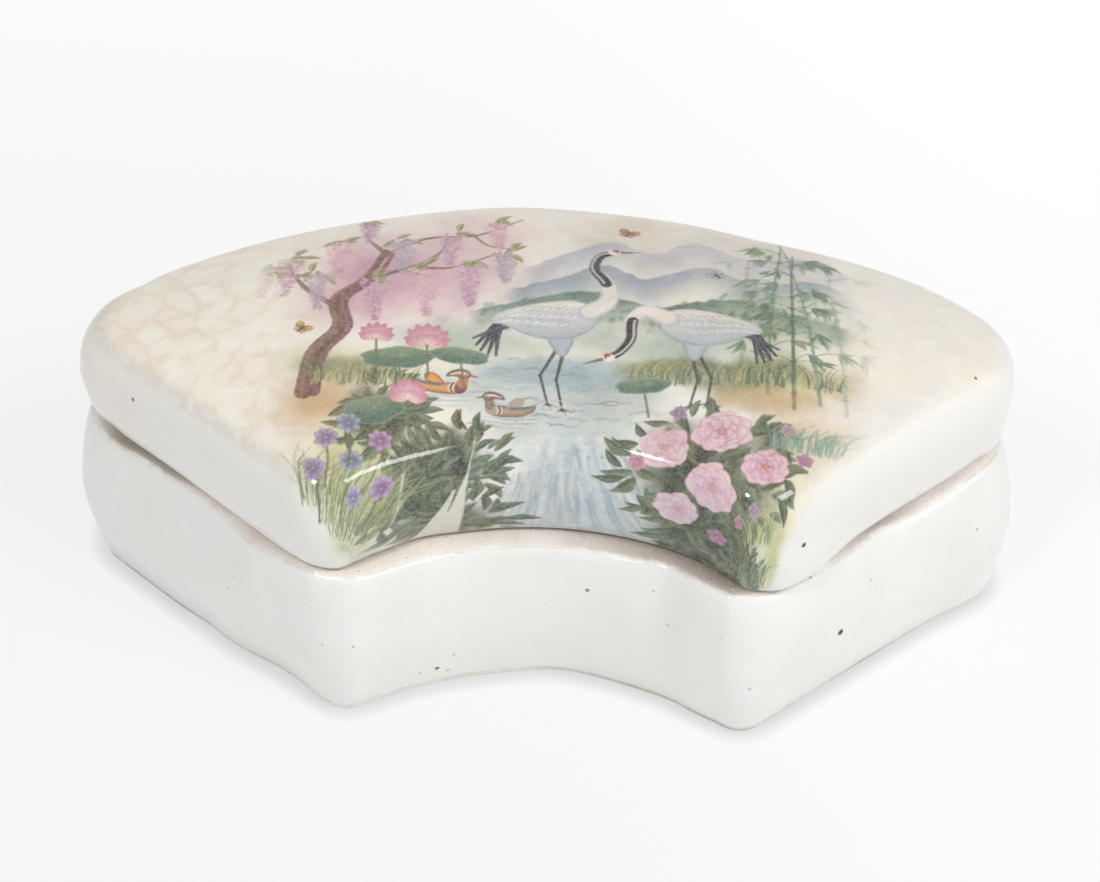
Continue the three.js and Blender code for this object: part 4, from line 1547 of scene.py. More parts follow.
def glaze_relief(tree, place, edge, bare):
    """Slow waves and faint orange peel of a glaze, rough grain where the clay is bare."""
    waves = centred(tree, noise(tree, place, 7, 2), GLAZE_WAVES * MM)
    peel = centred(tree, noise(tree, place, 0.9, 2), GLAZE_PEEL * MM)
    grain = centred(tree, noise(tree, place, 0.3, 4, 0.7), CLAY_ROUGHNESS * MM)
    step = ramp(tree, edge, -0.35, 0.1, 0.0, -GLAZE_STEP * MM)
    height = plus(tree, plus(tree, plus(tree, waves, peel), times(tree, grain, bare)), step)
    return relief(tree, height)


def relief(tree, height):
    """Normal of a surface with the given height in metres on it."""
    return add(tree, "ShaderNodeBump", {"Height": height, "Strength": 1.0, "Distance": 1.0}).outputs[0]


def clay_colour(tree, place, inward):
    """Pinkish bare clay with brown grains, turning grey further in from grime and from painted shade under
    the lid.
    """
    dusty = ramp(tree, noise(tree, place, 4.5, 3), 0.38, 0.68, 0.0, 0.6)
    colour = blend(tree, dusty, BARE_CLAY, DUSTY_CLAY)
    # Grime and painted shade: the clay darkens further in, towards the lid's edge, by the amount kept on
    # the mesh
    dirt_plus_shade = times(tree, ramp(tree, inward, -0.9, 0.6), attribute(tree, "grime_plus_shade"))
    colour = blend(tree, dirt_plus_shade, colour, GRIME_SHADE_COLOUR)
    grains = ramp(tree, noise(tree, place, 0.32, 3, 0.75), 0.57, 0.72, 0.0, 0.6)
    colour = blend(tree, grains, colour, CLAY_GRAIN)
    pale = ramp(tree, noise(tree, place, 0.5, 3, 0.75), 0.60, 0.72, 0.0, 0.7)
    return blend(tree, pale, colour, CLAY_PALE_GRAIN)


def porcelain(name, spots, lid=False):
    """Cloudy glaze with specks and iron spots, which ends in a stained edge where the clay is bare."""
    material, tree, shader, place = new_material(name)
    cloudy = noise(tree, place, 9, 3)
    small_clouds = noise(tree, place, 2.2, 3)
    glaze = blend(tree, ramp(tree, cloudy, 0.3, 0.7), GLAZE_GREENISH, GLAZE_WHITE)
    glaze = blend(tree, ramp(tree, small_clouds, 0.52, 0.75, 0.0, 0.5), glaze, GLAZE_CLOUD)
    if lid:
        glaze = printed(tree, place, lid_glaze(tree, place, cloudy, glaze))
    faint = fine_specks(tree, place, 0.75, 0.22, 0.16)
    glaze = blend(tree, times(tree, faint, 0.30), glaze, SPECK)
    strong = fine_specks(tree, place, 3.6, 0.22, 0.036)
    glaze = blend(tree, times(tree, strong, 0.75), glaze, SPECK)
    glaze = blend(tree, spot_mask(tree, place, spots), glaze, IRON)

    coarse = centred(tree, noise(tree, place, 1.6, 3), 0.6)
    ragged = plus(tree, coarse, centred(tree, noise(tree, place, 0.3, 3, 0.7), 0.5))
    edge = plus(tree, ragged, attribute(tree, "bare"))
    bare = ramp(tree, edge, -0.14, 0.14)
    stain = ramp(tree, calc(tree, "ABSOLUTE", plus(tree, edge, 0.12)), 0.3, 0.0, 0.0, 0.55)
    stain = times(tree, stain, ramp(tree, small_clouds, 0.35, 0.6))
    glaze = blend(tree, stain, glaze, EDGE_STAIN)
    colour = blend(tree, bare, glaze, clay_colour(tree, place, edge))
    gloss = ramp(tree, noise(tree, place, 5, 3), 0.35, 0.7, 0.07, 0.13)
    rough = add(tree, "ShaderNodeMix", {0: bare, 2: gloss, 3: 0.85}).outputs[0]
    normal = glaze_relief(tree, place, edge, bare)
    set_inputs(tree, shader, {"Base Color": colour, "Roughness": rough, "Normal": normal})
    return material


def lid_glaze(tree, place, cloudy, glaze):
    """Ivory crown on a whiter wall, parted along the ridge, with crackle and a worn left ridge."""
    side = axes(tree, place)[0]
    wavy = times(tree, centred(tree, cloudy, 1.0), ramp(tree, side, -0.02, 0.02, 1.2, 4.0))
    uneven = plus(tree, wavy, attribute(tree, "from_ridge"))
    pale = blend(tree, ramp(tree, side, -0.035, 0.035), IVORY_LEFT, IVORY_RIGHT)
    ivory = blend(tree, ramp(tree, noise(tree, place, 14, 3), 0.35, 0.65), pale, IVORY_DEEP)
    patchy = ramp(tree, noise(tree, place, 2.6, 3), 0.45, 0.68, 0.0, 0.5)
    ivory = blend(tree, patchy, ivory, IVORY_PATCH)
    wall = blend(tree, ramp(tree, side, -0.052, -0.038), LID_WALL_END, LID_WALL_LEFT)
    wall = blend(tree, ramp(tree, side, 0.0, 0.03), wall, LID_WALL_RIGHT)
    glaze = blend(tree, 0.85, glaze, wall)
    sharp = ramp(tree, uneven, -1.5, -0.3)
    soft = ramp(tree, uneven, -3.2, 1.2)
    crown = add(tree, "ShaderNodeMix", {0: ramp(tree, side, -0.01, 0.02), 2: sharp, 3: soft}).outputs[0]
    glaze = crackled(tree, place, blend(tree, crown, glaze, ivory))
    worn = ramp(tree, calc(tree, "ABSOLUTE", plus(tree, uneven, 1.5)), 1.7, 0.1)
    worn = times(tree, worn, ramp(tree, noise(tree, place, 1.1, 4, 0.7), 0.3, 0.64, 0.1, 0.55))
    worn = times(tree, worn, ramp(tree, side, -0.022, -0.034, 0.15, 1.0))
    return blend(tree, worn, glaze, RIDGE_WORN)


def crackled(tree, place, glaze):
    """Stained network of cracks, strong towards the left end of the lid and faint elsewhere."""
    x, _, z = axes(tree, place)
    shifted = plus(tree, x, centred(tree, noise(tree, place, 12, 3), 0.03))
    left = ramp(tree, shifted, -0.022, -0.034)
    right = ramp(tree, shifted, 0.034, 0.048, 0.0, 0.4)
    low = ramp(tree, z, 0.029, 0.0335, 0.25, 1.0)
    where = times(tree, calc(tree, "MAXIMUM", calc(tree, "MAXIMUM", left, right), 0.12), low)
    where = times(tree, where, ramp(tree, attribute(tree, "from_ridge"), -2.5, -0.5, 0.15, 1.0))
    main = voronoi(tree, warped(tree, place, 2.0, 0.75), 3.0, "DISTANCE_TO_EDGE")
    minor = voronoi(tree, warped(tree, place, 1.6, 0.5), 2.3, "DISTANCE_TO_EDGE")
    broken = ramp(tree, noise(tree, place, 4.5, 3), 0.40, 0.60)
    fading = ramp(tree, noise(tree, place, 3.5, 3), 0.36, 0.64, 0.12, 1.0)
    minor = times(tree, ramp(tree, minor, 0.022, 0.0), broken)
    lines = calc(tree, "MAXIMUM", ramp(tree, main, 0.02, 0.0), minor)
    lines = times(tree, times(tree, lines, fading), 0.17)
    bleed = times(tree, times(tree, ramp(tree, main, 0.26, 0.0), fading), 0.24)
    share = times(tree, plus(tree, lines, bleed), where)
    return blend(tree, share, glaze, CRACKLE_STAIN)


def printed(tree, place, glaze):
    """The picture over the glaze, grainy and with pinholes in its dark parts."""
    grainy = ramp(tree, noise(tree, place, 0.35, 3, 0.7), 0.35, 0.65, 0.0, 0.11)
    picture = attribute(tree, "print", "Color")
    ink = blend(tree, grainy, picture, (1.0, 1.0, 1.0))
    glaze = blend(tree, 1.0, glaze, ink, "MULTIPLY")
    green = add(tree, "ShaderNodeSeparateColor", {0: picture}).outputs[1]
    dark = ramp(tree, green, 0.65, 0.25, 0.0, 0.7)
    pinholes = times(tree, fine_specks(tree, place, 0.8, 0.45, 0.09), dark)
    return blend(tree, pinholes, glaze, GLAZE_CROWN)


def red_paste():
    """Oily vermilion paste, deeper red in random patches."""
    material, tree, shader, place = new_material("Seal_paste_vermilion")
    fine = noise(tree, place, 0.8, 4, 0.65)
    colour = blend(tree, ramp(tree, noise(tree, place, 5, 3), 0.35, 0.65), PASTE_DEEP, PASTE_RED)
    colour = blend(tree, ramp(tree, fine, 0.45, 0.7, 0.0, 0.5), colour, PASTE_BRIGHT)
    rough = ramp(tree, fine, 0.3, 0.7, 0.34, 0.52)
    clots = centred(tree, noise(tree, place, 2.4, 3), PASTE_CLOTS * MM)
    normal = relief(tree, plus(tree, centred(tree, fine, PASTE_GRAIN * MM), clots))
    set_inputs(tree, shader, {"Base Color": colour, "Roughness": rough, "Normal": normal})
    return material


def fibre_material():
    material, tree, shader, _ = new_material("Paste_fibres_red")
    set_inputs(tree, shader, {"Base Color": (*FIBRE_RED, 1.0), "Roughness": 0.5})
    return material


def grit_material():
    material, tree, shader, place = new_material("Kiln_grit_brown")
    colour = blend(tree, ramp(tree, noise(tree, place, 1.5, 2), 0.4, 0.6), GRIT_DARK, GRIT_PALE)
    set_inputs(tree, shader, {"Base Color": colour, "Roughness": 0.7})
    return material


# Scattered pieces


def node_group(name, inputs):
    """Empty geometry group that takes a surface and the given named inputs."""
    tree = bpy.data.node_groups.new(name, "GeometryNodeTree")
    tree.interface.new_socket("Surface", in_out="INPUT", socket_type="NodeSocketGeometry")
    for label, kind in inputs:
        tree.interface.new_socket(label, in_out="INPUT", socket_type=kind)
    tree.interface.new_socket("Pieces", in_out="OUTPUT", socket_type="NodeSocketGeometry")
    given = tree.nodes.new("NodeGroupInput").outputs
    return tree, given


def scatter(tree, given, instance):
    """Puts turned and scaled copies of an instance over the surface and makes one mesh of them."""
    seed = given["Seed"]
    inputs = {"Mesh": given["Surface"], "Density": given["Density"], "Seed": seed}
    points = add(tree, "GeometryNodeDistributePointsOnFaces", inputs).outputs
    inputs = {0: (0, 0, -math.pi), 1: (0, 0, math.pi), "Seed": seed}
    turn = add(tree, "FunctionNodeRandomValue", inputs, data_type="FLOAT_VECTOR").outputs[0]
    inputs = {0: points["Rotation"], 1: turn}
    rotation = add(tree, "FunctionNodeRotateRotation", inputs, rotation_space="LOCAL").outputs[0]
    inputs = {2: given["Smallest"], 3: given["Largest"], "Seed": seed}
    size = add(tree, "FunctionNodeRandomValue", inputs, data_type="FLOAT").outputs[1]
    inputs = {"Points": points["Points"], "Instance": instance, "Rotation": rotation, "Scale": size}
    copies = add(tree, "GeometryNodeInstanceOnPoints", inputs)
    real = add(tree, "GeometryNodeRealizeInstances", {0: copies.outputs[0]})
    inputs = {"Geometry": real.outputs[0], "Material": given["Material"]}
    dressed = add(tree, "GeometryNodeSetMaterial", inputs)
    output = tree.nodes.new("NodeGroupOutput")
    tree.links.new(dressed.outputs[0], output.inputs["Pieces"])


SCATTER_INPUTS = (
    ("Density", "NodeSocketFloat"),
    ("Seed", "NodeSocketInt"),
    ("Smallest", "NodeSocketFloat"),
    ("Largest", "NodeSocketFloat"),
    ("Material", "NodeSocketMaterial"),
)


def grit_group():
    """Scatters small rough grains."""
    tree, given = node_group("Grit", SCATTER_INPUTS)
    grain = add(tree, "GeometryNodeMeshIcoSphere", {"Radius": 1.0, "Subdivisions": 1}).outputs["Mesh"]
    where = add(tree, "GeometryNodeInputPosition").outputs[0]
    push = add(tree, "ShaderNodeTexNoise", {"Vector": where, "Scale": 0.9}).outputs["Color"]
    push = vector_calc(tree, "SUBTRACT", {0: push, 1: (0.5, 0.5, 0.5)})
    rough = add(tree, "GeometryNodeSetPosition", {"Geometry": grain, "Offset": push}).outputs[0]
    scatter(tree, given, rough)
    return tree


def fibre_group():
    """Scatters thin bowed fibres, twice as long as their scale."""
    tree, given = node_group("Fibres", SCATTER_INPUTS)
    ends = {"Start": (-1.0, 0, -0.03), "End": (1.0, -0.1, -0.03)}
    inputs = {"Resolution": 6, "Middle": (0.1, 0.55, 0.10)} | ends
    bow = add(tree, "GeometryNodeCurveQuadraticBezier", inputs).outputs[0]
    thin = add(tree, "GeometryNodeCurvePrimitiveCircle", {"Resolution": 4, "Radius": 0.026}).outputs[0]
    fibre = add(tree, "GeometryNodeCurveToMesh", {"Curve": bow, "Profile Curve": thin}).outputs[0]
    scatter(tree, given, fibre)
    return tree


def scattered(surface, group, values):
    """Turns a surface into what a group scatters over it, with the group's named inputs set."""
    modifier = surface.modifiers.new(group.name, "NODES")
    modifier.node_group = group
    for item in group.interface.items_tree:
        if item.item_type == "SOCKET" and item.in_out == "INPUT" and item.name in values:
            modifier[item.identifier] = values[item.name]
    bpy.context.view_layer.update()
    evaluated = surface.evaluated_get(bpy.context.evaluated_depsgraph_get())
    mesh = bpy.data.meshes.new_from_object(evaluated)
    surface.modifiers.remove(modifier)
    surface.data = mesh
    return surface


def band(name, profile, first, last, column_count, **shape):
    """Part of a loft's skin between two rings, as a surface to scatter over."""
    points = loft(profile, column_count, **shape)[0][first * column_count : (last + 1) * column_count]
    faces = grid_faces(last - first + 1, column_count).reshape(-1, 4).tolist()
    return make_mesh(name, points, faces)


# Pieces

# How dark the ledge turns at places round the outline: its grime, and painted shade where the lid shadows
# it
LEDGE_GRIME_SHADE = (
    (0.0, 0.1), (0.03, 0.55), (0.08, 0.75), (0.11, 0.2), (0.148, 0.1), (0.160, 0.4), (0.174, 0.75),
    (0.186, 0.4), (0.2, 0.1), (0.25, 0.0), (0.35, 0.4), (0.65, 0.5), (0.745, 0.1), (0.76, 0.5),
    (0.775, 1.0), (0.805, 0.85), (0.822, 0.3), (0.84, 0.05), (0.98, 0.03), (1.0, 0.1),
)
# Iron spots, most of them seen in the photograph: middle, radius and depth of tone
BODY_SPOTS = (
    ((34.4, -19.7, 10.5), 0.50, 1.0),
    ((-11.8, -21.1, 3.4), 0.34, 0.95),
    ((-10.6, -20.3, 2.5), 0.22, 0.6),
    ((-13.7, -21.8, 3.2), 0.20, 0.5),
    ((-9.9, -21.0, 5.6), 0.22, 0.4),
    ((5.1, -20.1, 15.7), 0.30, 0.7),
    ((30.1, -21.6, 20.6), 0.26, 0.6),
    ((14.4, -22.9, 13.4), 0.20, 0.4),
    ((12.6, -21.6, 17.4), 0.18, 0.35),
    ((24.0, -27.4, 8.3), 0.24, 0.4),
    ((-21.1, -26.8, 11.6), 0.22, 0.4),
    ((37.6, -16.0, 15.4), 0.22, 0.4),
    ((50.5, -4.5, 13.7), 0.24, 0.5),
    ((-36.1, -18.1, 11.9), 0.20, 0.35),
)
LID_SPOTS = (
    ((28.9, -24.0, 27.5), 0.36, 0.95),
    ((27.0, -25.3, 24.6), 0.24, 0.9),
    ((48.4, -2.4, 34.9), 0.30, 0.85),
    ((37.5, 0.1, 37.0), 0.20, 0.7),
    ((31.4, 14.6, 36.2), 0.26, 0.6),
    ((-47.5, -7.4, 30.5), 0.30, 0.8),
    ((44.0, 0.9, 36.2), 0.18, 0.5),
)


BODY_COLUMNS = 420


def run_along(profile):
    """How far along the profile each of its stations lies."""
    return np.r_[0, np.cumsum(np.hypot(*np.diff(profile[:, :2], axis=0).T))]


def make_body(seat):
    """Body, whose clay is bare under the foot and from the glaze's edge to the mouth of the well."""
    profile, (foot, glaze, mouth) = body_profile(seat)
    points, faces, rings, around = loft(profile, BODY_COLUMNS, **BODY_SHAPE)
    piece = make_mesh("Porcelain_body", points, faces)
    along = run_along(profile)
    run = along[rings.astype(int)]
    from_glaze = run - along[glaze] - GLAZE_BORDER_SHIFT
    bare = np.maximum(along[foot] - run, np.minimum(from_glaze, along[mouth] - run))
    set_floats(piece, "bare", bare)
    set_floats(piece, "grime_plus_shade", np.interp(around, *np.transpose(LEDGE_GRIME_SHADE)))
    piece.data.materials.append(porcelain("Glaze_of_body", BODY_SPOTS))
    return piece


LID_COLUMNS = 320
LID_BARE_HOLLOW = 6.0
SHOULDER_RINGS = 20
# The picture's triangles: how many at most, the shortest edge and the least error in tone that
# earn a split, and what share of the room each pass may use
LID_TRIANGLES = 192000
LEAST_EDGE = 0.13
LEAST_ERROR = 0.012
PASS_SHARES = (0.22, 0.5, 0.75, 1.0)


def lid_sheet(profile, widest):
    """Insets and corners of the lid's rings on the flat sheet that its picture is painted on."""
    shoulder = widest + SHOULDER_RINGS
    along = run_along(profile)
    inset = profile[:, 0].copy()
    corner = profile[:, 2].copy()
    inset[:shoulder] = inset[shoulder] - (along[shoulder] - along[:shoulder])
    corner[:shoulder] = LID_CORNER + inset[shoulder] - inset[:shoulder]
    return inset, corner


def sheet_place(sheet, rings, around):
    """Where places of the lid lie on the flat sheet."""
    index = np.arange(len(sheet[0]))
    inset = np.interp(rings, index, sheet[0])
    corner = np.interp(rings, index, sheet[1])
    return fan_point(inset, corner, around, LID_FRONT_TRIM)


def between(around_a, around_b, share):
    """Place round the outline a share of the short way from a to b."""
    step = np.mod(around_b - around_a + 0.5, 1) - 0.5
    return np.mod(around_a + step * share, 1)


def split_triangles(triangles, marks, middles):
    """Triangles after the marked edges have got a point in their middle."""
    count = marks.sum(axis=1)
    turn = np.zeros(len(triangles), int)
    turn[(count == 1) & marks[:, 1]] = 1
    turn[(count == 1) & marks[:, 2]] = 2
    turn[(count == 2) & ~marks[:, 0]] = 1
    turn[(count == 2) & ~marks[:, 1]] = 2
    order = (np.arange(3)[None, :] + turn[:, None]) % 3
    v = np.take_along_axis(triangles, order, axis=1)
    m = np.take_along_axis(middles, order, axis=1)
    source = []
    parts = []

    def emit(chosen, *corners):
        parts.append(np.stack([corner[chosen] for corner in corners], axis=1))
        source.append(np.nonzero(chosen)[0])

    a, b, c = v.T
    ab, bc, ca = m.T
    emit(count == 0, a, b, c)
    emit(count == 1, a, ab, c)
    emit(count == 1, ab, b, c)
    emit(count == 2, ab, b, bc)
    emit(count == 2, a, ab, bc)
    emit(count == 2, a, bc, c)
    emit(count == 3, a, ab, ca)
    emit(count == 3, ab, b, bc)
    emit(count == 3, ca, bc, c)
    emit(count == 3, ab, bc, ca)
    return np.concatenate(parts), np.concatenate(source)


def refine(triangles, cap, rings, around, normals, sheet, canvas):
    """Splits the edges along which the picture isn't close to an even run of colour."""
    for share in PASS_SHARES:
        pairs = np.sort(triangles[:, [[0, 1], [1, 2], [2, 0]]].reshape(-1, 2), axis=1)
        keys, where = np.unique(pairs[:, 0] * len(rings) + pairs[:, 1], return_inverse=True)
        first, second = keys // len(rings), keys % len(rings)
        of_loft = np.zeros(len(keys), bool)
        of_loft[where.reshape(-1, 3)[~cap].ravel()] = True
        ends = [sheet_place(sheet, rings[side], around[side]) for side in (first, second)]
        length = np.hypot(ends[0][0] - ends[1][0], ends[0][1] - ends[1][1])
        inside = canvas.holds(*ends[0]) & canvas.holds(*ends[1])
        chosen = np.nonzero(of_loft & inside & (length > LEAST_EDGE * 2))[0]
        low, high = first[chosen], second[chosen]
        tones = []
        for t in (0, 0.25, 0.5, 0.75, 1):
            ring = rings[low] + (rings[high] - rings[low]) * t
            tones.append(canvas.tone(*sheet_place(sheet, ring, between(around[low], around[high], t))))
        error = np.zeros(len(chosen))
        for t, tone in zip((0.25, 0.5, 0.75), tones[1:4]):
            error = np.maximum(error, np.abs(tone - tones[0] - (tones[4] - tones[0]) * t).max(axis=1))
        worth = error * np.sqrt(length[chosen])
        room = max(int((LID_TRIANGLES - len(triangles)) / 2 * share), 0)
        best = np.argsort(-worth)[:room]
        best = best[error[best] > LEAST_ERROR]
        marked = np.zeros(len(keys), bool)
        marked[chosen[best]] = True
        middle = np.full(len(keys), -1)
        middle[marked] = len(rings) + np.arange(marked.sum())
        low, high = first[marked], second[marked]
        marks, middles = marked[where].reshape(-1, 3), middle[where].reshape(-1, 3)
        triangles, source = split_triangles(triangles, marks, middles)
        cap = cap[source]
        rings = np.r_[rings, (rings[low] + rings[high]) / 2]
        around = np.r_[around, between(around[low], around[high], 0.5)]
        normals = np.vstack([normals, normals[low] + normals[high]])
    return triangles, rings, around, normals / np.linalg.norm(normals, axis=1, keepdims=True)


def smooth_normals(points, triangles):
    """Normals at points, from the faces round them by their size."""
    a, b, c = (points[triangles[:, k]] for k in range(3))
    facing = np.cross(b - a, c - a)
    total = np.zeros(points.shape)
    for k in range(3):
        np.add.at(total, triangles[:, k], facing)
    return total / np.linalg.norm(total, axis=1, keepdims=True)


OUTSIDE_CENTRE = (0.0, 16.0)
OUTSIDE_SPAN = 132.0
OUTSIDE_UV = (0.5, 0.44)
HOLLOW_CENTRE = (0.0, -29.0)
HOLLOW_SPAN = 150.0
HOLLOW_UV = (0.5, 0.02)


def bake_map(piece, triangles, rings, around, points, sheet, rim_edge):
    """UV map with the outside of the lid laid out flat in the upper part and its hollow below."""
    outside = (np.stack(sheet_place(sheet, rings, around), axis=1) - OUTSIDE_CENTRE) / OUTSIDE_SPAN
    outside = outside + OUTSIDE_UV
    hollow = (points[:, :2] - HOLLOW_CENTRE) / HOLLOW_SPAN + HOLLOW_UV
    top = (rings[triangles].max(axis=1) > rim_edge)[:, None, None]
    uv = np.where(top, outside[triangles], hollow[triangles])
    layer = piece.data.uv_layers.new(name="OFBake")
    layer.data.foreach_set("uv", uv.astype(np.float32).ravel())


def make_lid(rim):
    """Lid with the picture on it, set down with a little play and turn, as it lies in the photograph."""
    profile, (flat_end, rim_edge, widest) = lid_profile(rim)
    points, faces, rings, around = loft(profile, LID_COLUMNS, **LID_SHAPE)
    quads = np.array([f for f in faces if len(f) == 4])
    caps = np.array([f for f in faces if len(f) == 3])
    triangles = np.vstack([quads[:, [0, 1, 2]], quads[:, [0, 2, 3]], caps])
    cap = np.arange(len(triangles)) >= 2 * len(quads)
    normals = smooth_normals(points, triangles)
    sheet = lid_sheet(profile, widest)
    canvas = paint()
    triangles, rings, around, normals = refine(triangles, cap, rings, around, normals, sheet, canvas)
    points = fan_surface(profile, rings, around, **LID_SHAPE)
    turn = np.array(Matrix.Rotation(LID_TURN, 3, "Z"))
    points = points @ turn.T - [LID_PLAY_SIDE, 0, 0]
    piece = make_mesh("Porcelain_lid", points, triangles, normals @ turn.T)
    along = run_along(profile)
    run = np.interp(rings, np.arange(len(along)), along)
    set_floats(piece, "bare", np.minimum(along[rim_edge] - run, run - along[flat_end] + LID_BARE_HOLLOW))
    # The lid's bare clay gets half the darkening for grime and painted shade
    set_floats(piece, "grime_plus_shade", np.full(len(rings), 0.5))
    set_floats(piece, "from_ridge", run - along[widest + SHOULDER_RINGS])
    set_colours(piece, "print", canvas.ink(*sheet_place(sheet, rings, around)))
    bake_map(piece, triangles, rings, around, points, sheet, rim_edge)
    piece.data.materials.append(porcelain("Glaze_of_lid", LID_SPOTS, lid=True))
    return piece


PASTE_COLUMNS = 360
FIBRE_RINGS = 34
FIBRE_COLUMNS = 200
FIBRES_PER_SQUARE_METRE = 0.75e6
GRAINS_PER_SQUARE_METRE = 0.35e6


def make_paste(collar_top):
    """Bed of paste, lumpy on top."""
    points, faces, _, _ = loft(paste_profile(collar_top), PASTE_COLUMNS)
    lumps = cloud((240, 400), 22, 9, 4)
    row = np.clip((points[:, 1] + 24) * 5, 0, 238).astype(int)
    column = np.clip((points[:, 0] + 50) * 4, 0, 398).astype(int)
    inner = smooth(PASTE_EDGE_HEIGHT - 0.5, PASTE_EDGE_HEIGHT + 0.8, points[:, 2])
    points[:, 2] += (lumps[row, column] - 0.5) * PASTE_LUMPS * inner
    piece = make_mesh("Red_seal_paste", points, faces)
    piece.data.materials.append(red_paste())
    return piece


def paste_fibres(collar_top):
    """Short plant fibres that lie on the paste."""
    profile = paste_profile(collar_top)
    rings = len(profile)
    surface = band("Paste_fibres", profile, rings - FIBRE_RINGS, rings - 2, FIBRE_COLUMNS)
    values = {"Density": FIBRES_PER_SQUARE_METRE, "Seed": 4, "Smallest": 0.5 * MM, "Largest": 1.5 * MM}
    return scattered(surface, fibre_group(), values | {"Material": fibre_material()})


def kiln_grit(seat):
    """Grains of kiln sand that stuck to the bare ledge."""
    profile, (_, glaze, _) = body_profile(seat)
    surface = band("Kiln_grit", profile, glaze + 1, glaze + 9, BODY_COLUMNS, **BODY_SHAPE)
    values = {"Density": GRAINS_PER_SQUARE_METRE, "Seed": 7, "Smallest": 0.03 * MM, "Largest": 0.09 * MM}
    return scattered(surface, grit_group(), values | {"Material": grit_material()})


# Stage


FLOOR_HALF_WIDTH = 1500.0
# How bright the floor looks near the object and behind it, and how much it gains to the right
FLOOR_NEAR_LEVEL = 0.787
FLOOR_FAR_LEVEL = 0.868
FLOOR_RIGHT_GAIN = 0.05
# Reach of the painted contact shadow round the foot
PAINTED_SHADOW_REACH = 2.4
# How bright the room lights the object, and how bright it looks where it is seen or mirrored
ROOM_LEVEL = 0.427
ROOM_SEEN_LEVEL = 0.85


def seen_share(tree):
    """1 for rays that show a surface, straight, mirrored or through glass, and 0 for the rest."""
    path = add(tree, "ShaderNodeLightPath").outputs
    seen = calc(tree, "MAXIMUM", path["Is Camera Ray"], path["Is Glossy Ray"])
    return calc(tree, "MAXIMUM", seen, path["Is Transmission Ray"])


def floor():
    """Paper-white sweep. It lights the pieces as plain paper does, and looks paler where it is seen, with
    painted light that rises towards the back and the right and a painted contact shadow round the foot.
    """
    corners = np.array([[-1, -1, 0], [1, -1, 0], [1, 1, 0], [-1, 1, 0]]) * FLOOR_HALF_WIDTH
    plane = make_mesh("Floor", corners, [(0, 1, 2, 3)])
    material, tree, shader, place = new_material("Floor_paper")
    dull = {"Base Color": (0.92, 0.92, 0.925, 1), "Roughness": 0.9, "Specular IOR Level": 0.1}
    set_inputs(tree, shader, dull)
    x, y, _ = axes(tree, place)
    further = ramp(tree, y, 0.0, 0.16, FLOOR_NEAR_LEVEL, FLOOR_FAR_LEVEL)
    level = plus(tree, further, ramp(tree, x, -0.03, 0.08, 0.0, FLOOR_RIGHT_GAIN))
    # Painted contact shadow: the seen floor dims where it is hemmed in near the foot
    painted_contact_shadow = add(tree, "ShaderNodeAmbientOcclusion", {"Distance": PAINTED_SHADOW_REACH * MM}, samples=2)
    level = times(tree, level, ramp(tree, painted_contact_shadow.outputs["AO"], 0.3, 0.95, 0.7, 1.0))
    glow = add(tree, "ShaderNodeEmission", {"Color": (0.99, 0.99, 1.0, 1), "Strength": level})
    paper = add(tree, "ShaderNodeBsdfDiffuse", {"Color": (0.14, 0.14, 0.14, 1)})
    seen_paper = add(tree, "ShaderNodeAddShader", {0: glow.outputs[0], 1: paper.outputs[0]})
    inputs = {0: seen_share(tree), 1: shader.outputs[0], 2: seen_paper.outputs[0]}
    both = add(tree, "ShaderNodeMixShader", inputs)
    output = next(node for node in tree.nodes if node.type == "OUTPUT_MATERIAL")
    tree.links.new(both.outputs[0], output.inputs["Surface"])
    plane.data.materials.append(material)


LIGHTS_AIM = (0, 0, 20)


def area_light(name, place, size, power):
    """White rectangular lamp that faces the box."""
    data = bpy.data.lights.new(name, "AREA")
    data.shape = "RECTANGLE"
    data.size, data.size_y = size[0] * MM, size[1] * MM
    data.energy = power
    lamp = bpy.data.objects.new(name, data)
    lamp.location = Vector(place) * MM
    way = Vector(LIGHTS_AIM) - Vector(place)
    lamp.rotation_euler = way.to_track_quat("-Z", "Y").to_euler()
    bpy.context.scene.collection.objects.link(lamp)


def lights():
    """Plain pale room, two soft boxes and a broad fill from the right."""
    world = bpy.data.worlds.new("Soft_room")
    bpy.context.scene.world = world
    world.use_nodes = True
    tree = world.node_tree
    level = add(tree, "ShaderNodeMix", {0: seen_share(tree), 2: ROOM_LEVEL, 3: ROOM_SEEN_LEVEL}).outputs[0]
    set_inputs(tree, tree.nodes["Background"], {0: (1, 1, 1, 1), 1: level})
    area_light("Right_softbox", (474, -332, 689), (340, 250), 3.1)
    area_light("Left_softbox", (-318, -454, 709), (90, 150), 2.35)
    area_light("Side_fill", (850, -230, 240), (1000, 440), 1.12)


# Camera, fitted to the photograph's outlines
FOCAL_PIXELS = 4000.0
PICTURE_WIDTH_PIXELS = 1100.0
CAMERA_DISTANCE = 508.39
CAMERA_ELEVATION = 0.7065
CAMERA_AZIMUTH = 0.0059
CAMERA_ROLL = 0.0387
CAMERA_TARGET = Vector((-0.0855, 31.19, -5.9744))


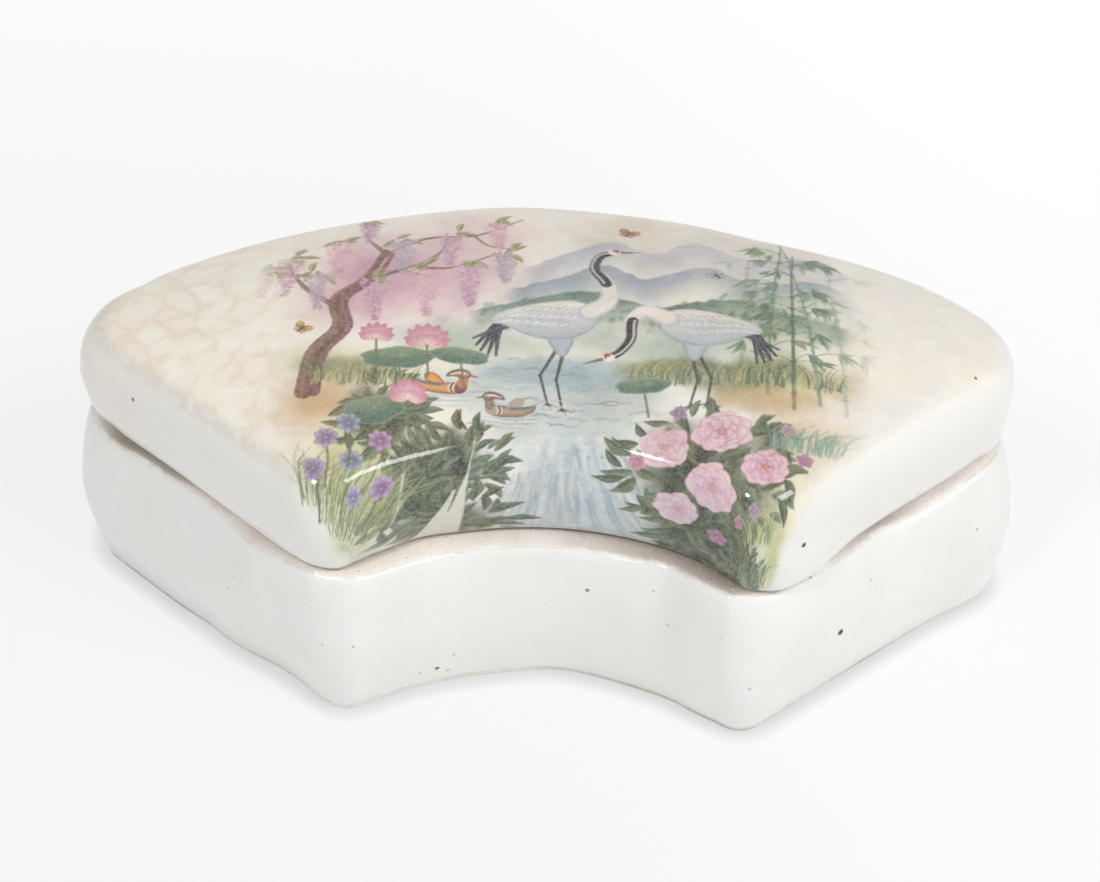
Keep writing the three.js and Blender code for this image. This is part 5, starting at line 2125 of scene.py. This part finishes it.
def camera():
    """Camera at the photograph's viewing angle."""
    sin_a, cos_a = math.sin(CAMERA_AZIMUTH), math.cos(CAMERA_AZIMUTH)
    sin_e, cos_e = math.sin(CAMERA_ELEVATION), math.cos(CAMERA_ELEVATION)
    back = Vector((sin_a * cos_e, -cos_a * cos_e, sin_e))
    right = Vector((cos_a, sin_a, 0))
    up = back.cross(right)
    sin_r, cos_r = math.sin(CAMERA_ROLL), math.cos(CAMERA_ROLL)
    rolled_right = right * cos_r + up * sin_r
    rolled_up = up * cos_r - right * sin_r
    data = bpy.data.cameras.new("Camera")
    data.sensor_width = 36.0
    data.lens = FOCAL_PIXELS * data.sensor_width / PICTURE_WIDTH_PIXELS
    data.clip_start, data.clip_end = 0.01, 20.0
    view = bpy.data.objects.new("Camera", data)
    turn = Matrix((rolled_right, rolled_up, back)).transposed().to_4x4()
    view.matrix_world = Matrix.Translation((CAMERA_TARGET + back * CAMERA_DISTANCE) * MM) @ turn
    bpy.context.scene.collection.objects.link(view)
    bpy.context.scene.camera = view


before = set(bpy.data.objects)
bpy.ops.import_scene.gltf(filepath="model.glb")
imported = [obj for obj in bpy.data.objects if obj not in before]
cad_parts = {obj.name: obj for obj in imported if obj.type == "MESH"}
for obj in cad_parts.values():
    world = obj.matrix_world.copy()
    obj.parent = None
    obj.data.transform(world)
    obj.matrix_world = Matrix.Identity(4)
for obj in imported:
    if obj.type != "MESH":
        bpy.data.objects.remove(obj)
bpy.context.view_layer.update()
camera()
lights()
floor()

collar_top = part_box("box_body")[1].z / MM
ledge_height = collar_top - COLLAR_HEIGHT
rim_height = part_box("lid")[0].z / MM - LID_SETTLING
for piece, node, owner, slot in (
    (make_body(ledge_height), "box_body", "box", "body_porcelain"),
    (make_lid(rim_height), "lid", "lid", "lid_porcelain"),
    (make_paste(collar_top), "seal_paste", "box", "red_paste"),
):
    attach(piece, owner)
    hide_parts(node)
for piece, slot in (
    (paste_fibres(collar_top), "red_paste"),
    (kiln_grit(ledge_height), "body_porcelain"),
):
    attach(piece, "box")

bpy.context.scene.view_settings.view_transform = "Standard"
